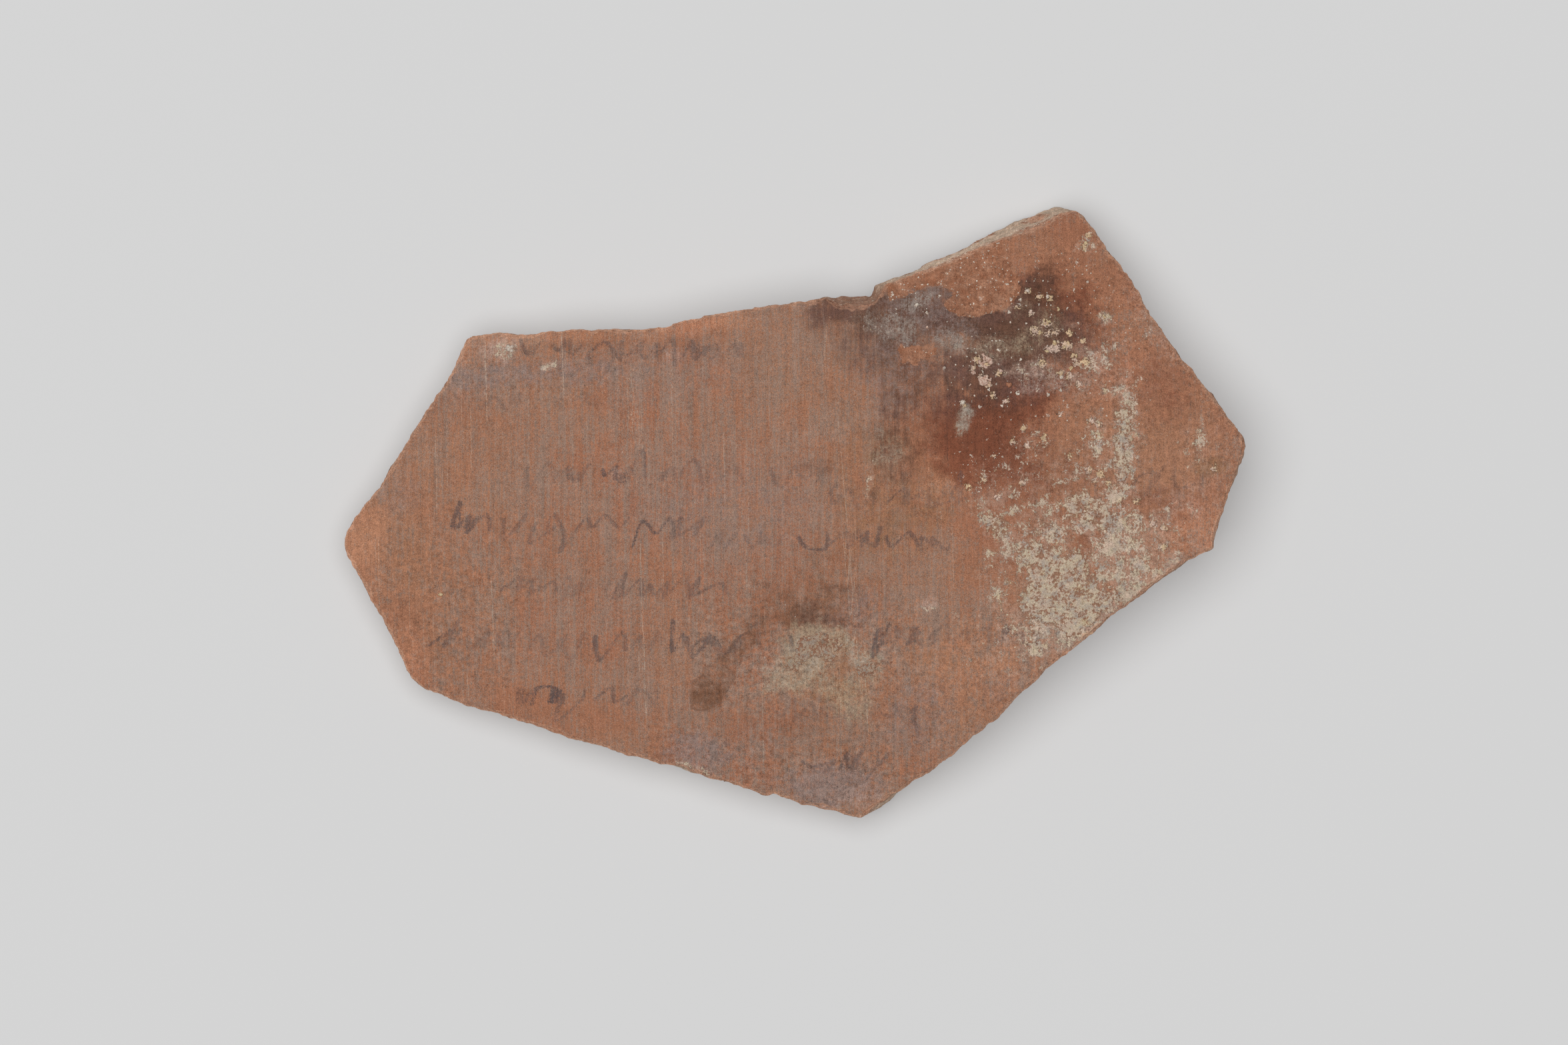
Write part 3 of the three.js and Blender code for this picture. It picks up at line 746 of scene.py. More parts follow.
def applied(piece: Piece) -> None:
    """Gives the object the mesh that its modifiers make, and removes them.

    Args:
        piece: The object.
    """
    graph = bpy.context.evaluated_depsgraph_get()
    graph.update()
    made = bpy.data.meshes.new_from_object(piece.evaluated_get(graph))
    piece.modifiers.clear()
    piece.data = made


def remeshed(piece: Piece, voxel: float) -> None:
    """Gives the object an even skin of small quads.

    Args:
        piece: The object.
        voxel: Size of a quad, in metres.
    """
    skin = piece.modifiers.new("even_skin", "REMESH")
    skin.mode = "VOXEL"
    skin.voxel_size = voxel
    skin.adaptivity = 0.0
    applied(piece)


def set_smooth(mesh: Mesh) -> None:
    """Shades the whole mesh smoothly."""
    mesh.polygons.foreach_set("use_smooth", np.ones(len(mesh.polygons), dtype=bool))
    mesh.update()


def vertex_array(mesh: Mesh) -> np.ndarray:
    """Returns the places of the mesh's vertices.

    Args:
        mesh: The mesh.

    Returns:
        Three numbers a vertex.
    """
    flat = np.empty(len(mesh.vertices) * 3)
    mesh.vertices.foreach_get("co", flat)
    return flat.reshape(-1, 3)


def normal_array(mesh: Mesh) -> np.ndarray:
    """Returns the way that the mesh looks at each vertex.

    Args:
        mesh: The mesh.

    Returns:
        Three numbers a vertex.
    """
    flat = np.empty(len(mesh.vertices) * 3)
    mesh.vertex_normals.foreach_get("vector", flat)
    return flat.reshape(-1, 3)


def move_vertices(mesh: Mesh, points: np.ndarray) -> None:
    """Moves the mesh's vertices to new places."""
    mesh.vertices.foreach_set("co", points.ravel())
    mesh.update()


def put_attribute(mesh: Mesh, name: str, values: np.ndarray) -> None:
    """Writes one number a vertex under a name that shaders can read."""
    layer = mesh.attributes.new(name, "FLOAT", "POINT")
    layer.data.foreach_set("value", values.astype(np.float32))


def search_tree(marks: Sequence[Sequence[float]]) -> kdtree.KDTree:
    """Returns a tree that finds the nearest of the marks.

    Args:
        marks: Places, three numbers each.

    Returns:
        The tree.
    """
    tree = kdtree.KDTree(len(marks))
    for index, mark in enumerate(marks):
        tree.insert(mark, index)
    tree.balance()
    return tree


def distance_to(points: np.ndarray, marks: np.ndarray) -> np.ndarray:
    """Returns how far each point is from the nearest of the marks."""
    tree = search_tree(marks.tolist())
    return np.array([tree.find(point)[2] for point in points.tolist()])


class Weave:
    """The edges of a skin, by which its vertices pull at each other.

    Attributes:
        first: Vertex at one end of each edge.
        second: Vertex at its other end.
        pull: Strength of each edge.
        whole: Strength of all the edges that meet at each vertex.
    """

    def __init__(self, mesh: Mesh, cross_share: float = 1.0) -> None:
        """Reads the edges of a mesh.

        Args:
            mesh: The skin.
            cross_share: Strength of an edge that crosses the turning lines, by one that follows them.
        """
        ends = np.empty(len(mesh.edges) * 2, dtype=np.int64)
        mesh.edges.foreach_get("vertices", ends)
        self.first, self.second = ends.reshape(-1, 2).T
        points = vertex_array(mesh)
        lie = (points[self.second] - points[self.first]) ** 2
        self.pull = cross_share + (1.0 - cross_share) * lie[:, 1] / lie.sum(axis=1)
        self.whole = self._gather(np.ones(len(points)))

    def _gather(self, values: np.ndarray) -> np.ndarray:
        """Returns the sum of each vertex's neighbours, by the strength of the edges."""
        total = np.bincount(self.first, self.pull * values[self.second], len(values))
        return total + np.bincount(self.second, self.pull * values[self.first], len(values))

    def eased(self, values: np.ndarray, share: np.ndarray | float, rounds: int) -> np.ndarray:
        """Returns values drawn towards the mean of their neighbours.

        Args:
            values: One value a vertex.
            share: How much each vertex gives way.
            rounds: How many times they are drawn.

        Returns:
            The drawn values.
        """
        for _ in range(rounds):
            values = values + 0.5 * share * (self._gather(values) / self.whole - values)
        return values


@dataclass
class SherdClay:
    """The fragment of jar wall, with its worn face, its hackly break and its rilled inside.

    Looks are how far a place looks up: 1 straight up, -1 straight down. Spans of looks are those
    between which something comes in, from none to full.

    Attributes:
        plan: Ties pixels to the model.
        node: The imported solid.
        weld: Distance under which its corners are one.
        voxel: Size of the new skin's squares.
        look_rounds: How many times the looks are smoothed before they choose what is smoothed.
        calm_rounds: How many times all the turned faces are smoothed.
        step_rounds: How many times more away from the spalls, where the new skin has steps.
        worn_rounds: How many times more on the worn face, which has no rills to keep.
        facet_rounds: How many times the facets of the inside are smoothed along the turning lines.
        facet_share: How much the smoothing of those facets reaches across the lines.
        down_rounds: How many times its looks are smoothed before the thinned inside is told apart.
        even_rounds: How many times that inside is evened out.
        spall_margin: How close to a spall's edge the smoothing stops.
        skin_share: Share of the skin's faces that stay when the plain inside is thinned.
        standing_height: Height over which the relief fades out towards the flats that it stands on.
        turning_squeeze: Draws the turning marks out along the turning lines.
        hackle_squeeze: Flattens the hackles.
        nick_level: Raises the noise that the nicks are cut by, so that more of the arris has them.
        nick_gain: Strength of the nicks.
        inner_shares: Size and depth of the waves of the inside, by those of the face.
        swing_sizes: Sizes of the swings of the stains' edges.
        swing_gains: Their strengths.
        score_reach_mm: Distance from a score beyond which nothing is told apart.
        score_fade_share: Share of a score's length over which each end fades.
        reach_mm: Distance from a flaked or stained edge beyond which nothing is told apart.
    """

    plan: PhotoPlan
    node: Piece
    weld: float = 0.002 * MM
    voxel: float = 0.44 * MM
    look_rounds: int = 8
    calm_rounds: int = 7
    step_rounds: int = 40
    worn_rounds: int = 100
    facet_rounds: int = 160
    facet_share: float = 0.04
    down_rounds: int = 3
    even_rounds: int = 12
    spall_margin: float = 1.3 * MM
    skin_share: float = 0.65
    turned_looks: Span = (0.70, 0.82)
    plain_look: float = -0.88
    inside_looks: Span = (0.86, 0.92)
    bent_looks: Span = (0.25, 0.80)
    face_looks: Span = (0.65, 0.9)
    inner_looks: Span = (-0.65, -0.85)
    arris_looks: tuple[Span, Span] = ((0.15, 0.45), (0.93, 0.80))
    shown_face_looks: Span = (0.45, 0.80)
    shown_inner_looks: Span = (-0.55, -0.85)
    side_look: float = -0.2
    steep_look: float = 0.3
    wall: float = 8.0 * MM
    arris_reach: float = 0.8 * MM
    standing_height: float = 0.6 * MM
    wave_size: float = 9.0 * MM
    wave_depth: float = 0.10 * MM
    turning_pitch: float = 3.2 * MM
    turning_depth: float = 0.03 * MM
    turning_squeeze: tuple[float, ...] = (1.0, 0.08, 0.08)
    hackle_sizes: tuple[float, ...] = (5.0 * MM, 1.9 * MM, 0.8 * MM)
    hackle_depths: tuple[float, ...] = (0.26 * MM, 0.26 * MM, 0.16 * MM)
    hackle_squeeze: tuple[float, ...] = (1.0, 1.0, 1.8)
    nick_sizes: tuple[float, ...] = (2.4 * MM, 0.9 * MM, 0.42 * MM)
    nick_depths: tuple[float, ...] = (0.12 * MM, 0.16 * MM, 0.11 * MM)
    nick_level: float = 0.1
    nick_gain: float = 2.2
    inner_shares: Span = (0.4, 0.8)
    rim_reach: float = 0.9 * MM
    rim_level: float = 1.15
    swing_sizes: tuple[float, ...] = (5.0 * MM, 1.9 * MM, 0.8 * MM)
    swing_gains: tuple[float, ...] = (0.8, 0.6, 0.4)
    score_reach_mm: float = 1.2
    score_fade_share: float = 0.12
    reach_mm: float = 2.0

    def build(self) -> Piece:
        """Builds the clay from a copy of its solid.

        Returns:
            The clay.
        """
        skin = bmesh.new()
        skin.from_mesh(self.node.data)
        bmesh.ops.remove_doubles(skin, verts=skin.verts, dist=self.weld)
        piece = new_object("sherd_clay", made_mesh(skin, "sherd_clay"))
        remeshed(piece, self.voxel)
        self._ease_faces(piece.data)
        self._thin_inside(piece)
        self._refine_arris(piece.data)
        self._roughen(piece.data)
        self._measure(piece.data)
        set_smooth(piece.data)
        log.info("sherd_clay: %d faces", len(piece.data.polygons))
        return piece

    def _ease_faces(self, mesh: Mesh) -> None:
        """Smooths the steps of the new skin and the facets of the turned faces, not the spalls' edges.

        Args:
            mesh: The clay's mesh.
        """
        points = vertex_array(mesh)
        even = Weave(mesh)
        upright = even.eased(normal_array(mesh)[:, 2], 1.0, self.look_rounds)
        calm = smooth_step(*self.turned_looks, np.abs(upright))
        pixels = self.plan.pixels(points)
        margin_px = self.spall_margin / self.plan.pixel
        nearest = np.minimum(
            np.abs(SPALL.depth_inside(pixels)), np.abs(SMALL_SPALL.depth_inside(pixels))
        )
        away = calm * smooth_step(0.5 * margin_px, margin_px, nearest)
        worn = away * (upright > 0.0)
        rilled = away * (upright < 0.0)
        for axis in range(3):
            places = even.eased(points[:, axis], calm, self.calm_rounds)
            places = even.eased(places, away, self.step_rounds)
            points[:, axis] = even.eased(places, worn, self.worn_rounds)
        along = Weave(mesh, self.facet_share)
        points[:, 2] = along.eased(points[:, 2], rilled, self.facet_rounds)
        move_vertices(mesh, points)

    def _thin_inside(self, piece: Piece) -> None:
        """Thins the skin of the inside, so that the written side can have more of it.

        Args:
            piece: The clay.
        """
        plain = np.nonzero(normal_array(piece.data)[:, 2] < self.plain_look)[0]
        group = piece.vertex_groups.new(name="plain_inside")
        group.add(plain.tolist(), 1.0, "REPLACE")
        thinner = piece.modifiers.new("thinner_inside", "DECIMATE")
        thinner.vertex_group = group.name
        thinner.ratio = self.skin_share
        applied(piece)
        piece.vertex_groups.clear()
        points = vertex_array(piece.data)
        even = Weave(piece.data)
        down = -even.eased(normal_array(piece.data)[:, 2], 1.0, self.down_rounds)
        inside = smooth_step(*self.inside_looks, down)
        for axis in range(3):
            points[:, axis] = even.eased(points[:, axis], inside, self.even_rounds)
        move_vertices(piece.data, points)

    def _refine_arris(self, mesh: Mesh) -> None:
        """Gives the arris round the face a finer skin.

        Args:
            mesh: The clay's mesh.
        """
        points = vertex_array(mesh)
        upright = normal_array(mesh)[:, 2]
        least, most = self.bent_looks
        bent = (upright > least) & (upright < most) & (points[:, 2] > 0.0)
        near = distance_to(points, points[bent]) < self.arris_reach
        near &= upright > self.side_look
        skin = bmesh.new()
        skin.from_mesh(mesh)
        edges = [edge for edge in skin.edges if all(near[vert.index] for vert in edge.verts)]
        bmesh.ops.subdivide_edges(skin, edges=edges, cuts=1, use_grid_fill=True)
        bmesh.ops.triangulate(skin, faces=[face for face in skin.faces if len(face.verts) > 4])
        skin.to_mesh(mesh)
        skin.free()
        mesh.update()

    def _roughen(self, mesh: Mesh) -> None:
        """Moves the skin: slow waves and turning marks on the face, hackles and nicks on the break.

        Args:
            mesh: The clay's mesh.
        """
        points = vertex_array(mesh)
        looks = normal_array(mesh)
        upright = looks[:, 2]
        face = smooth_step(*self.face_looks, upright)
        inner = smooth_step(*self.inner_looks, upright)
        broken = 1.0 - np.maximum(face, inner)
        move = face * self.wave_depth * uneven(points, self.wave_size, 1.0)
        turning = points * np.array(self.turning_squeeze)
        move += face * self.turning_depth * uneven(turning, self.turning_pitch, 2.0)
        flat = points * np.array(self.hackle_squeeze)
        move += broken * layered(flat, self.hackle_sizes, self.hackle_depths, 3.0)
        arris = smooth_step(*self.arris_looks[0], upright) * smooth_step(*self.arris_looks[1], upright)
        for number, (size, depth) in enumerate(zip(self.nick_sizes, self.nick_depths)):
            nick = np.maximum(uneven(points, size, 16.0 + number) + self.nick_level, 0.0)
            move -= arris * depth * nick * self.nick_gain
        finer, lower = self.inner_shares
        move += inner * self.wave_depth * lower * uneven(points, self.wave_size * finer, 8.0)
        low = points[:, 2].min()
        standing = smooth_step(0.0, self.standing_height, points[:, 2] - low)
        points += looks * (move * standing)[:, None]
        points[:, 2] = np.maximum(points[:, 2], low)
        move_vertices(mesh, points)

    def _measure(self, mesh: Mesh) -> None:
        """Writes what the finish reads: kinds of surface, stains, films, lime and ink.

        Args:
            mesh: The clay's mesh.
        """
        points = vertex_array(mesh)
        upright = normal_array(mesh)[:, 2]
        pixels = self.plan.pixels(points)
        pixel_mm = self.plan.pixel_mm
        face = smooth_step(*self.shown_face_looks, upright)
        put_attribute(mesh, "on_face", face)
        put_attribute(mesh, "on_inside", smooth_step(*self.shown_inner_looks, upright))
        depth = distance_to(points, points[face > 0.9]) / self.wall
        put_attribute(mesh, "wall_depth", np.clip(depth, 0.0, 1.0))
        # rim: nearness to the break, read by the finish for the worn arris and for the painted highlight
        # along it
        steep = points[np.abs(upright) < self.steep_look]
        rim = self.rim_level - distance_to(points, steep) / self.rim_reach
        put_attribute(mesh, "rim", np.clip(rim, 0.0, 1.0))
        flaked = np.maximum(SPALL.depth_inside(pixels), SMALL_SPALL.depth_inside(pixels))
        brown = BROWN_STAIN.depth_inside(pixels)
        for name, inside in (("spall", flaked), ("brown_edge", brown)):
            put_attribute(mesh, name, np.clip(inside * pixel_mm, -self.reach_mm, self.reach_mm))
        self._stain(mesh, points, pixels)
        edge, ink = PenMarks().lay(pixels, pixel_mm)
        put_attribute(mesh, "ink_edge", edge)
        put_attribute(mesh, "ink_load", ink * face)
        self._score(mesh, "pale", PALE_SCORES + StrayScores().lines(), pixels, face)
        self._score(mesh, "dark", DARK_SCORES + StrayScores(seed=8).lines(), pixels, face)

    def _stain(self, mesh: Mesh, points: np.ndarray, pixels: np.ndarray) -> None:
        """Writes each layer's cover, with blots of one layer laid over each other.

        Args:
            mesh: The clay's mesh.
            points: Places in metres.
            pixels: Places by the photograph's pixels.
        """
        swing = layered(points, self.swing_sizes, self.swing_gains, 11.0)
        bare = {layer: np.ones(len(pixels)) for layer in Layer}
        for (layer, waver), rows in BLOT_ROWS.items():
            for row in rows:
                bare[layer] *= 1.0 - Blot(row[0:2], row[2:4], *row[4:]).cover(pixels, waver * swing)
        for layer, left in bare.items():
            put_attribute(mesh, layer.value, 1.0 - left)

    def _score(
        self, mesh: Mesh, name: str, lines: Sequence[Score], pixels: np.ndarray, face: np.ndarray
    ) -> None:
        """Writes how far each place lies to one side of the nearest thin line, and its strength.

        Args:
            mesh: Mesh that gets the two attributes.
            name: What the lines are called.
            lines: The lines.
            pixels: The mesh's places by the photograph's pixels.
            face: How much each place is part of the face.
        """
        side = np.full(len(pixels), self.score_reach_mm)
        load = np.zeros(len(pixels))
        for score in lines:
            first = np.array(score.top, dtype=float)
            along = np.array(score.foot, dtype=float) - first
            length = math.hypot(*along)
            unit = along / length
            shift = pixels - first
            share = shift @ unit / length
            gap = (shift[:, 0] * unit[1] - shift[:, 1] * unit[0]) * self.plan.pixel_mm
            fade = self.score_fade_share
            held = smooth_step(0.0, fade, share) * smooth_step(1.0, 1.0 - fade, share)
            near = smooth_step(self.score_reach_mm, 0.5 * self.score_reach_mm, np.abs(gap))
            strength = score.load * held * near
            nearer = (strength > 0.0) & (np.abs(gap) < np.abs(side))
            side[nearer] = gap[nearer]
            load[nearer] = strength[nearer]
        put_attribute(mesh, f"{name}_side", side)
        put_attribute(mesh, f"{name}_load", load * face)


class Bench:
    """Lays the shader nodes of one material. Its sizes are in millimetres.

    Attributes:
        least_dot_share: Radius of the smallest dots, by the largest.
        shake_gap_share: Distance over which a dot's edge is shaken, by its radius.
        shake_share: How far it is shaken, by its radius.
    """

    least_dot_share: float = 0.35
    shake_gap_share: float = 1.0 / 0.9
    shake_share: float = 2.4

    def __init__(self, name: str) -> None:
        """Starts an empty material.

        Args:
            name: The material's name.
        """
        self.material = bpy.data.materials.new(name)
        self.material.use_nodes = True
        self.tree = self.material.node_tree
        self.tree.nodes.clear()
        place = self.add("ShaderNodeTexCoord").outputs["Object"]
        self.place_mm = self.vector("SCALE", place, 1.0 / MM)

    def add(self, kind: str, **settings: object) -> bpy.types.Node:
        """Adds a node and sets its settings.

        Args:
            kind: Kind of node.
            settings: Its settings, by name.

        Returns:
            The node.
        """
        node = self.tree.nodes.new(kind)
        for name, value in settings.items():
            setattr(node, name, value)
        return node

    def feed(self, socket: Socket, value: Value) -> None:
        """Links a socket to an output, or sets it to a number or colour.

        Args:
            socket: The socket.
            value: What it takes.
        """
        if isinstance(value, bpy.types.NodeSocket):
            self.tree.links.new(value, socket)
        elif isinstance(value, tuple) and socket.type == "RGBA":
            socket.default_value = (*value, 1.0)
        else:
            socket.default_value = value

    def math(self, operation: str, *values: Value) -> Socket:
        """Returns the result of one kind of sum over the values, taken in turn.

        Args:
            operation: The kind.
            values: The values.

        Returns:
            The result.
        """
        total = values[0]
        for value in values[1:]:
            node = self.add("ShaderNodeMath", operation=operation)
            self.feed(node.inputs[0], total)
            self.feed(node.inputs[1], value)
            total = node.outputs[0]
        return total

    def times(self, *values: Value) -> Socket:
        """Returns the product of several values."""
        return self.math("MULTIPLY", *values)

    def plus(self, *values: Value) -> Socket:
        """Returns the sum of several values."""
        return self.math("ADD", *values)

    def less(self, value: Value, taken: Value) -> Socket:
        """Returns what is left of a value."""
        return self.math("SUBTRACT", value, taken)

    def vector(self, operation: str, first: Value, second: Value) -> Socket:
        """Returns the sum or difference of two vectors, or a vector scaled by a number.

        Args:
            operation: ADD, SUBTRACT or SCALE.
            first: The first vector.
            second: The second, or the number.

        Returns:
            The vector.
        """
        node = self.add("ShaderNodeVectorMath", operation=operation)
        self.feed(node.inputs[0], first)
        self.feed(node.inputs["Scale" if operation == "SCALE" else 1], second)
        return node.outputs[0]

    def step(self, value: Value, low: float, high: float) -> Socket:
        """Returns a smooth rise from 0 at low to 1 at high.

        Args:
            value: What rises.
            low: Where the rise starts.
            high: Where it ends.

        Returns:
            The rise, 0 to 1.
        """
        node = self.add("ShaderNodeMapRange", interpolation_type="SMOOTHSTEP")
        self.feed(node.inputs["Value"], value)
        self.feed(node.inputs["From Min"], low)
        self.feed(node.inputs["From Max"], high)
        return node.outputs["Result"]

    def attribute(self, name: str) -> Socket:
        """Returns a number that the mesh holds at each point."""
        return self.add("ShaderNodeAttribute", attribute_name=name).outputs["Fac"]

    def layer(self, layer: Layer) -> Socket:
        """Returns the cover of one layer."""
        return self.attribute(layer.value)

    def texture(self, kind: str, place: Socket, scale: float, **values: float) -> bpy.types.Node:
        """Adds a texture that is read at a place, with its inputs by their names.

        Args:
            kind: Kind of node.
            place: Where it is read.
            scale: Its scale.
            values: Its other inputs.

        Returns:
            The node.
        """
        node = self.add(kind)
        self.feed(node.inputs["Vector"], place)
        for name, value in {"Scale": scale, **values}.items():
            self.feed(node.inputs[name], value)
        return node

    def swing(
        self, size: float, gain: float, detail: float = 2.0, rough: float = 0.6, place: Socket | None = None
    ) -> Socket:
        """Returns noise that swings about 0.

        Args:
            size: Distance over which it changes.
            gain: How strong it is.
            detail: Number of finer layers.
            rough: Strength of the finer layers.
            place: Places to read it at, or none for the plain ones.

        Returns:
            The swing.
        """
        place = place or self.place_mm
        node = self.texture("ShaderNodeTexNoise", place, 1.0 / size, Detail=detail, Roughness=rough)
        return self.times(self.less(node.outputs["Fac"], 0.5), gain)

    def streak(self, size: float, gain: float, length: float) -> Socket:
        """Returns noise that is drawn out to a length along the turning lines, which lean a little.

        Args:
            size: Distance over which it changes across the lines.
            gain: How strong it is.
            length: That distance along the lines.

        Returns:
            The swing.
        """
        lie = self.add("ShaderNodeMapping", vector_type="POINT")
        self.feed(lie.inputs["Vector"], self.place_mm)
        self.feed(lie.inputs["Rotation"], (0.0, 0.0, TURNING_LEAN))
        self.feed(lie.inputs["Scale"], (1.0, size / length, size / length))
        return self.swing(size, gain, place=lie.outputs["Vector"])

    def sway(self, level: Value, *rows: tuple[float, ...]) -> Socket:
        """Returns a level plus one swing a row of size, gain and, if given, detail and roughness."""
        return self.plus(level, *(self.swing(*row) for row in rows))

    def patches(self, level: Value, low: float, high: float, *rows: tuple[float, ...]) -> Socket:
        """Returns 0 to 1 where a swaying level rises from low to high."""
        return self.step(self.sway(level, *rows), low, high)

    def dots(self, cell: float, radius: float, share: float, soft: float = 0.35) -> Socket:
        """Returns scattered ragged dots, 1 inside them.

        Args:
            cell: Distance between the places that may hold a dot.
            radius: Largest radius of a dot.
            share: Share of the places that hold one.
            soft: Share of the radius over which a dot fades.

        Returns:
            The cover.
        """
        cells = self.texture("ShaderNodeTexVoronoi", self.ragged(radius), 1.0 / cell, Randomness=1.0)
        split = self.add("ShaderNodeSeparateColor")
        self.feed(split.inputs["Color"], cells.outputs["Color"])
        chosen = self.math("LESS_THAN", split.outputs["Red"], share)
        least = self.least_dot_share
        sizes = self.plus(self.times(split.outputs["Green"], 1.0 - least), least)
        reach = self.times(sizes, radius / cell)
        ratio = self.math("DIVIDE", cells.outputs["Distance"], reach)
        return self.times(chosen, self.step(ratio, 1.0, 1.0 - soft))

    def ragged(self, radius: float) -> Socket:
        """Returns places shaken by a share of a dot's radius, so that the dot isn't round.

        Args:
            radius: Largest radius of the dots.

        Returns:
            The places.
        """
        scale = 1.0 / (self.shake_gap_share * radius)
        shaker = self.texture("ShaderNodeTexNoise", self.place_mm, scale, Detail=1.0)
        centred = self.vector("SUBTRACT", shaker.outputs["Color"], (0.5, 0.5, 0.5))
        return self.vector("ADD", self.vector("SCALE", centred, self.shake_share * radius), self.place_mm)

    def mix(self, share: Value, first: Value, second: Value) -> Socket:
        """Returns two colours mixed by a share.

        Args:
            share: Share of the second.
            first: Colour at 0.
            second: Colour at 1.

        Returns:
            The colour.
        """
        node = self.add("ShaderNodeMix", data_type="RGBA", blend_type="MIX")
        for socket, value in zip((node.inputs[0], node.inputs[6], node.inputs[7]), (share, first, second)):
            self.feed(socket, value)
        return node.outputs[2]

    def lay(self, colour: Value, tint: Value, *covers: Value) -> Socket:
        """Returns a colour with a tint over it, as strong as the product of the covers."""
        return self.mix(self.times(*covers), colour, tint)

    def speckle(self, colour: Value, *rows: tuple[Colour, float, tuple[float, ...]]) -> Socket:
        """Returns a colour under dots: a tint, a strength and the sizes of its dots in each row.

        Args:
            colour: What lies under them.
            rows: One row a kind of dot.

        Returns:
            The colour.
        """
        for tint, strength, sizes in rows:
            colour = self.lay(colour, tint, self.dots(*sizes), strength)
        return colour

    def tone(self, colour: Value, factor: Value) -> Socket:
        """Returns a colour made lighter or darker by a factor."""
        return self.vector("SCALE", colour, factor)

    def bump(self, height_mm: Value) -> Socket:
        """Returns a normal that shows a height.

        Args:
            height_mm: The height.

        Returns:
            The normal.
        """
        node = self.add("ShaderNodeBump")
        self.feed(node.inputs["Distance"], MM)
        self.feed(node.inputs["Height"], height_mm)
        return node.outputs["Normal"]

    def finish(self, colour: Value, rough: float, gloss: float, **more: Value) -> Material:
        """Closes the material with one surface shader.

        Args:
            colour: Base colour.
            rough: Roughness.
            gloss: Specular level.
            more: What other sockets take, by their names with a _ for each space.

        Returns:
            The material.
        """
        surface = self.add("ShaderNodeBsdfPrincipled")
        values = {"Base_Color": colour, "Roughness": rough, "Specular_IOR_Level": gloss, **more}
        for name, value in values.items():
            self.feed(surface.inputs[name.replace("_", " ")], value)
        output = self.add("ShaderNodeOutputMaterial")
        self.feed(output.inputs["Surface"], surface.outputs["BSDF"])
        return self.material


@dataclass(frozen=True)
class LimeTones:
    """The colours of the thin lime, for the haze on the clay and for the crust alike."""

    beige: Colour = linear(190, 174, 150)
    pink: Colour = linear(186, 164, 146)
    yellow: Colour = linear(186, 166, 134)
    ashen: Colour = linear(158, 147, 138)
    soot: Colour = linear(98, 84, 80)

    def colour(self, bench: Bench) -> Socket:
        """Returns the lime's colour at each place.

        Args:
            bench: Where the nodes go.

        Returns:
            The colour.
        """
        tone = bench.mix(bench.patches(0.5, 0.0, 1.0, (1.6, 2.6, 3)), self.beige, self.pink)
        tone = bench.mix(bench.step(bench.swing(3.6, 2.6), 0.15, 0.6), tone, self.yellow)
        tone = bench.lay(tone, self.ashen, bench.patches(0.3, 0.2, 0.8, (1.3, 2.8, 3)), 0.8)
        sooty = bench.patches(bench.swing(0.5, 2.2, 3), 0.3, 0.6, (5.0, 1.4))
        return bench.lay(tone, self.soot, sooty, 0.75)


DUSKY_TONES = LimeTones(
    beige=linear(164, 144, 124),
    pink=linear(158, 136, 119),
    yellow=linear(161, 141, 115),
    ashen=linear(142, 130, 119),
)


